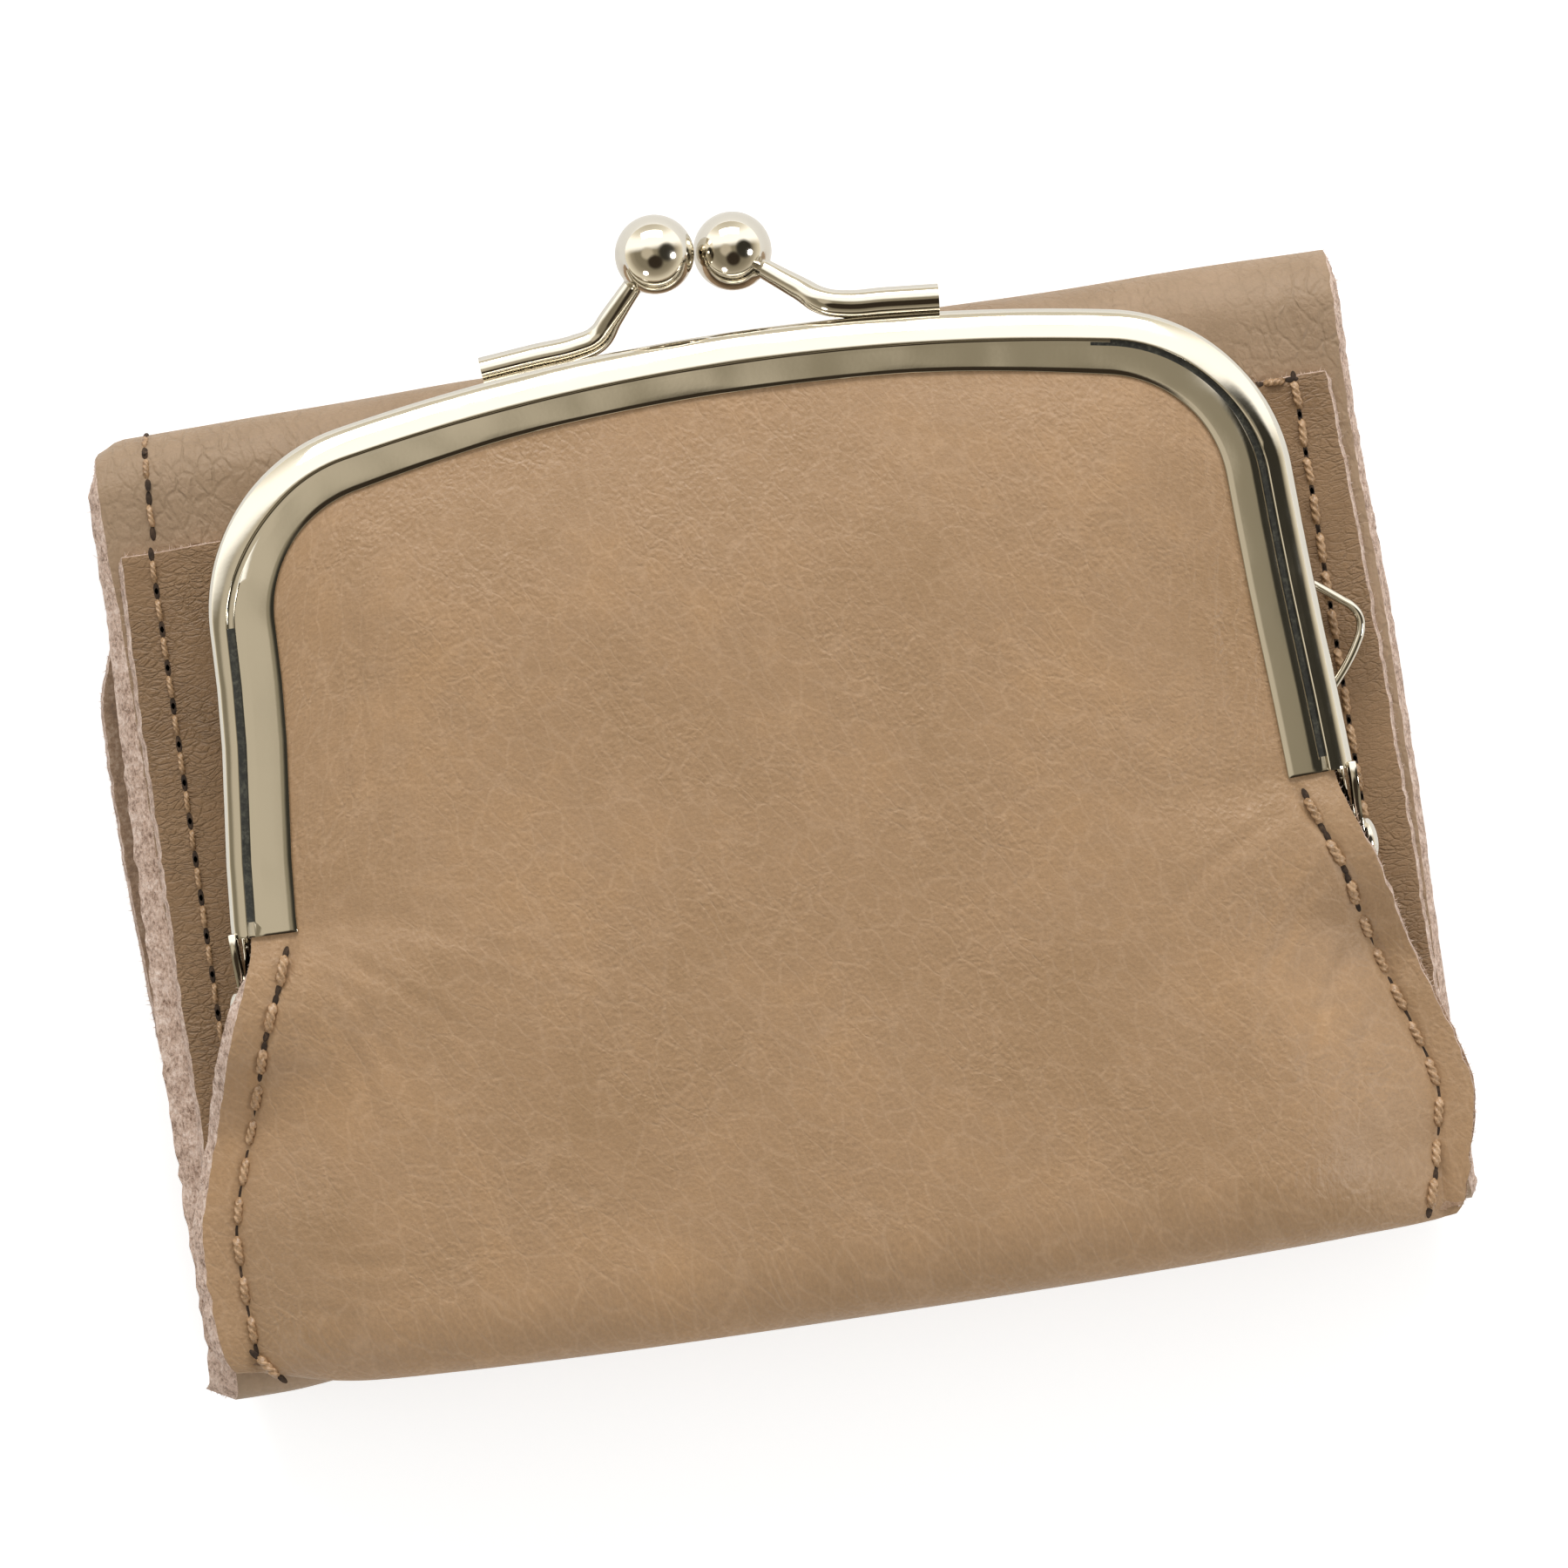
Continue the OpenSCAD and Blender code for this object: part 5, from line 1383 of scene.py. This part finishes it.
def studio():
    """A white sweep, one broad soft light beyond the top fold, two small lamps, and a grey room with a bright side
    and dark patches that only the metal's and leather's reflections show."""
    scene = bpy.context.scene
    scene.view_settings.view_transform = "Standard"
    floor = add("floor", bpy.ops.mesh.primitive_plane_add, size=1.6)
    material, tree, shader = new_material("white_sweep_paper")
    node(tree, shader, {"Base Color": linear("#f6f6f5"), "Roughness": 0.9})
    glow = node(tree, "Emission", {"Color": (1, 1, 1, 1), "Strength": 0.45})
    lit = node(tree, "AddShader", {0: shader, 1: glow})
    # The glow is there for the camera, a third as strong in reflections, and doesn't light the wallet
    path = node(tree, "LightPath").outputs
    glowing = {0: path["Is Glossy Ray"], 1: 0.3, 2: path["Is Camera Ray"]}
    seen = node(tree, "MixShader", {0: node(tree, "Math", glowing, operation="MULTIPLY_ADD"), 1: shader, 2: lit})
    node(tree, tree.nodes["Material Output"], {0: seen})
    floor.data.materials.append(material)

    world = bpy.data.worlds.new("studio")
    scene.world = world
    world.use_nodes = True
    tree = world.node_tree
    way = node(tree, "TexCoord").outputs["Generated"]
    apart = node(tree, "SeparateXYZ", {0: way}).outputs
    room = node(tree, "ValToRGB", {"Fac": apart["Z"]}, stops=[
        (0.0, "#c8c2b3"), (1.0, "#787161"), (0.16, "#b3ac9c"), (0.38, "#857d6d"), (0.6, "#6e6758"), (0.9, "#6b6455"),
    ])
    tent = node(tree, "ValToRGB", {"Fac": apart["Y"]}, stops=[
        (0.3, "#f6f4ef"), (1.0, "#aca698"), (0.66, "#f4f1ea"), (0.84, "#c6c1b4"),
    ])
    beyond = {"Value": apart["Y"], "From Min": 0.09, "From Max": 0.42}
    beyond = node(tree, "MapRange", beyond, interpolation_type="SMOOTHSTEP")
    room = node(tree, "Mix", {"Factor": beyond, "A": room, "B": tent}, data_type="RGBA")
    # Patches overhead: direction, cosines from which they fade in and are full, and colour
    for aim, start, full, colour in (
        ((-0.3, 0.0, 0.954), 0.93, 0.985, "#a29a8a"),
        ((0.02, -0.48, 0.877), 0.9, 0.965, "#29221a"),
        ((0.62, -0.05, 0.783), 0.86, 0.95, "#2a2822"),
    ):
        close = node(tree, "VectorMath", {0: way, 1: aim}, operation="DOT_PRODUCT").outputs["Value"]
        share = {"Value": close, "From Min": start, "From Max": full}
        share = node(tree, "MapRange", share, interpolation_type="SMOOTHSTEP")
        room = node(tree, "Mix", {"Factor": share, "A": room, "B": linear(colour)}, data_type="RGBA")
    room = node(tree, "VectorMath", {0: room, 1: (2.0, 2.0, 2.0)}, operation="MULTIPLY")
    # Grey for what lights the wallet, the room for reflections, white for the camera
    path = node(tree, "LightPath").outputs
    room = {"Factor": path["Is Glossy Ray"], "A": (0.5, 0.5, 0.5, 1), "B": room}
    room = {"Factor": path["Is Camera Ray"], "A": node(tree, "Mix", room, data_type="RGBA"), "B": (1, 1, 1, 1)}
    node(tree, tree.nodes["Background"], {"Color": node(tree, "Mix", room, data_type="RGBA")})

    for name, place, shape, width, length, power in (
        ("broad_softbox", (0.03, 0.95, 0.62), "RECTANGLE", 1.0, 0.4, 9.5),
        ("left_lamp", (-0.475, -0.777, 0.407), "DISK", 0.22, 0.22, 0.9),
        ("right_lamp", (0.81, -0.18, 0.55), "DISK", 0.24, 0.24, 2.0),
    ):
        bpy.ops.object.light_add(type="AREA", location=place)
        lamp = bpy.context.object
        lamp.name = name
        lamp.data.shape = shape
        lamp.data.size, lamp.data.size_y = width, length
        lamp.data.energy = power
        lamp.rotation_euler = (-Vector(place)).to_track_quat("-Z", "Y").to_euler()


add_camera()
FIBRE = fibre_pattern()
STITCH = stitch_pattern()
NEEDLE_HOLE = hole_pattern()
leaves()
purse_back()
purse_front()
frame_half("rear_frame_pressed", REAR_Z, REAR_EAR_X, "wallet", "rear_frame")
frame_half("front_frame_pressed", FRONT_Z, FRONT_EAR_X, "front_half", "front_frame")
rivets()
clasp(-1, "wallet", "rear_clasp_arm", "rear_clasp_ball")
clasp(1, "front_half", "front_clasp_arm", "front_clasp_ball")
strap_loop()
paper_cords()
snap()
sewing()
for pattern in (STITCH, NEEDLE_HOLE, FIBRE):
    bpy.data.objects.remove(pattern)
studio()
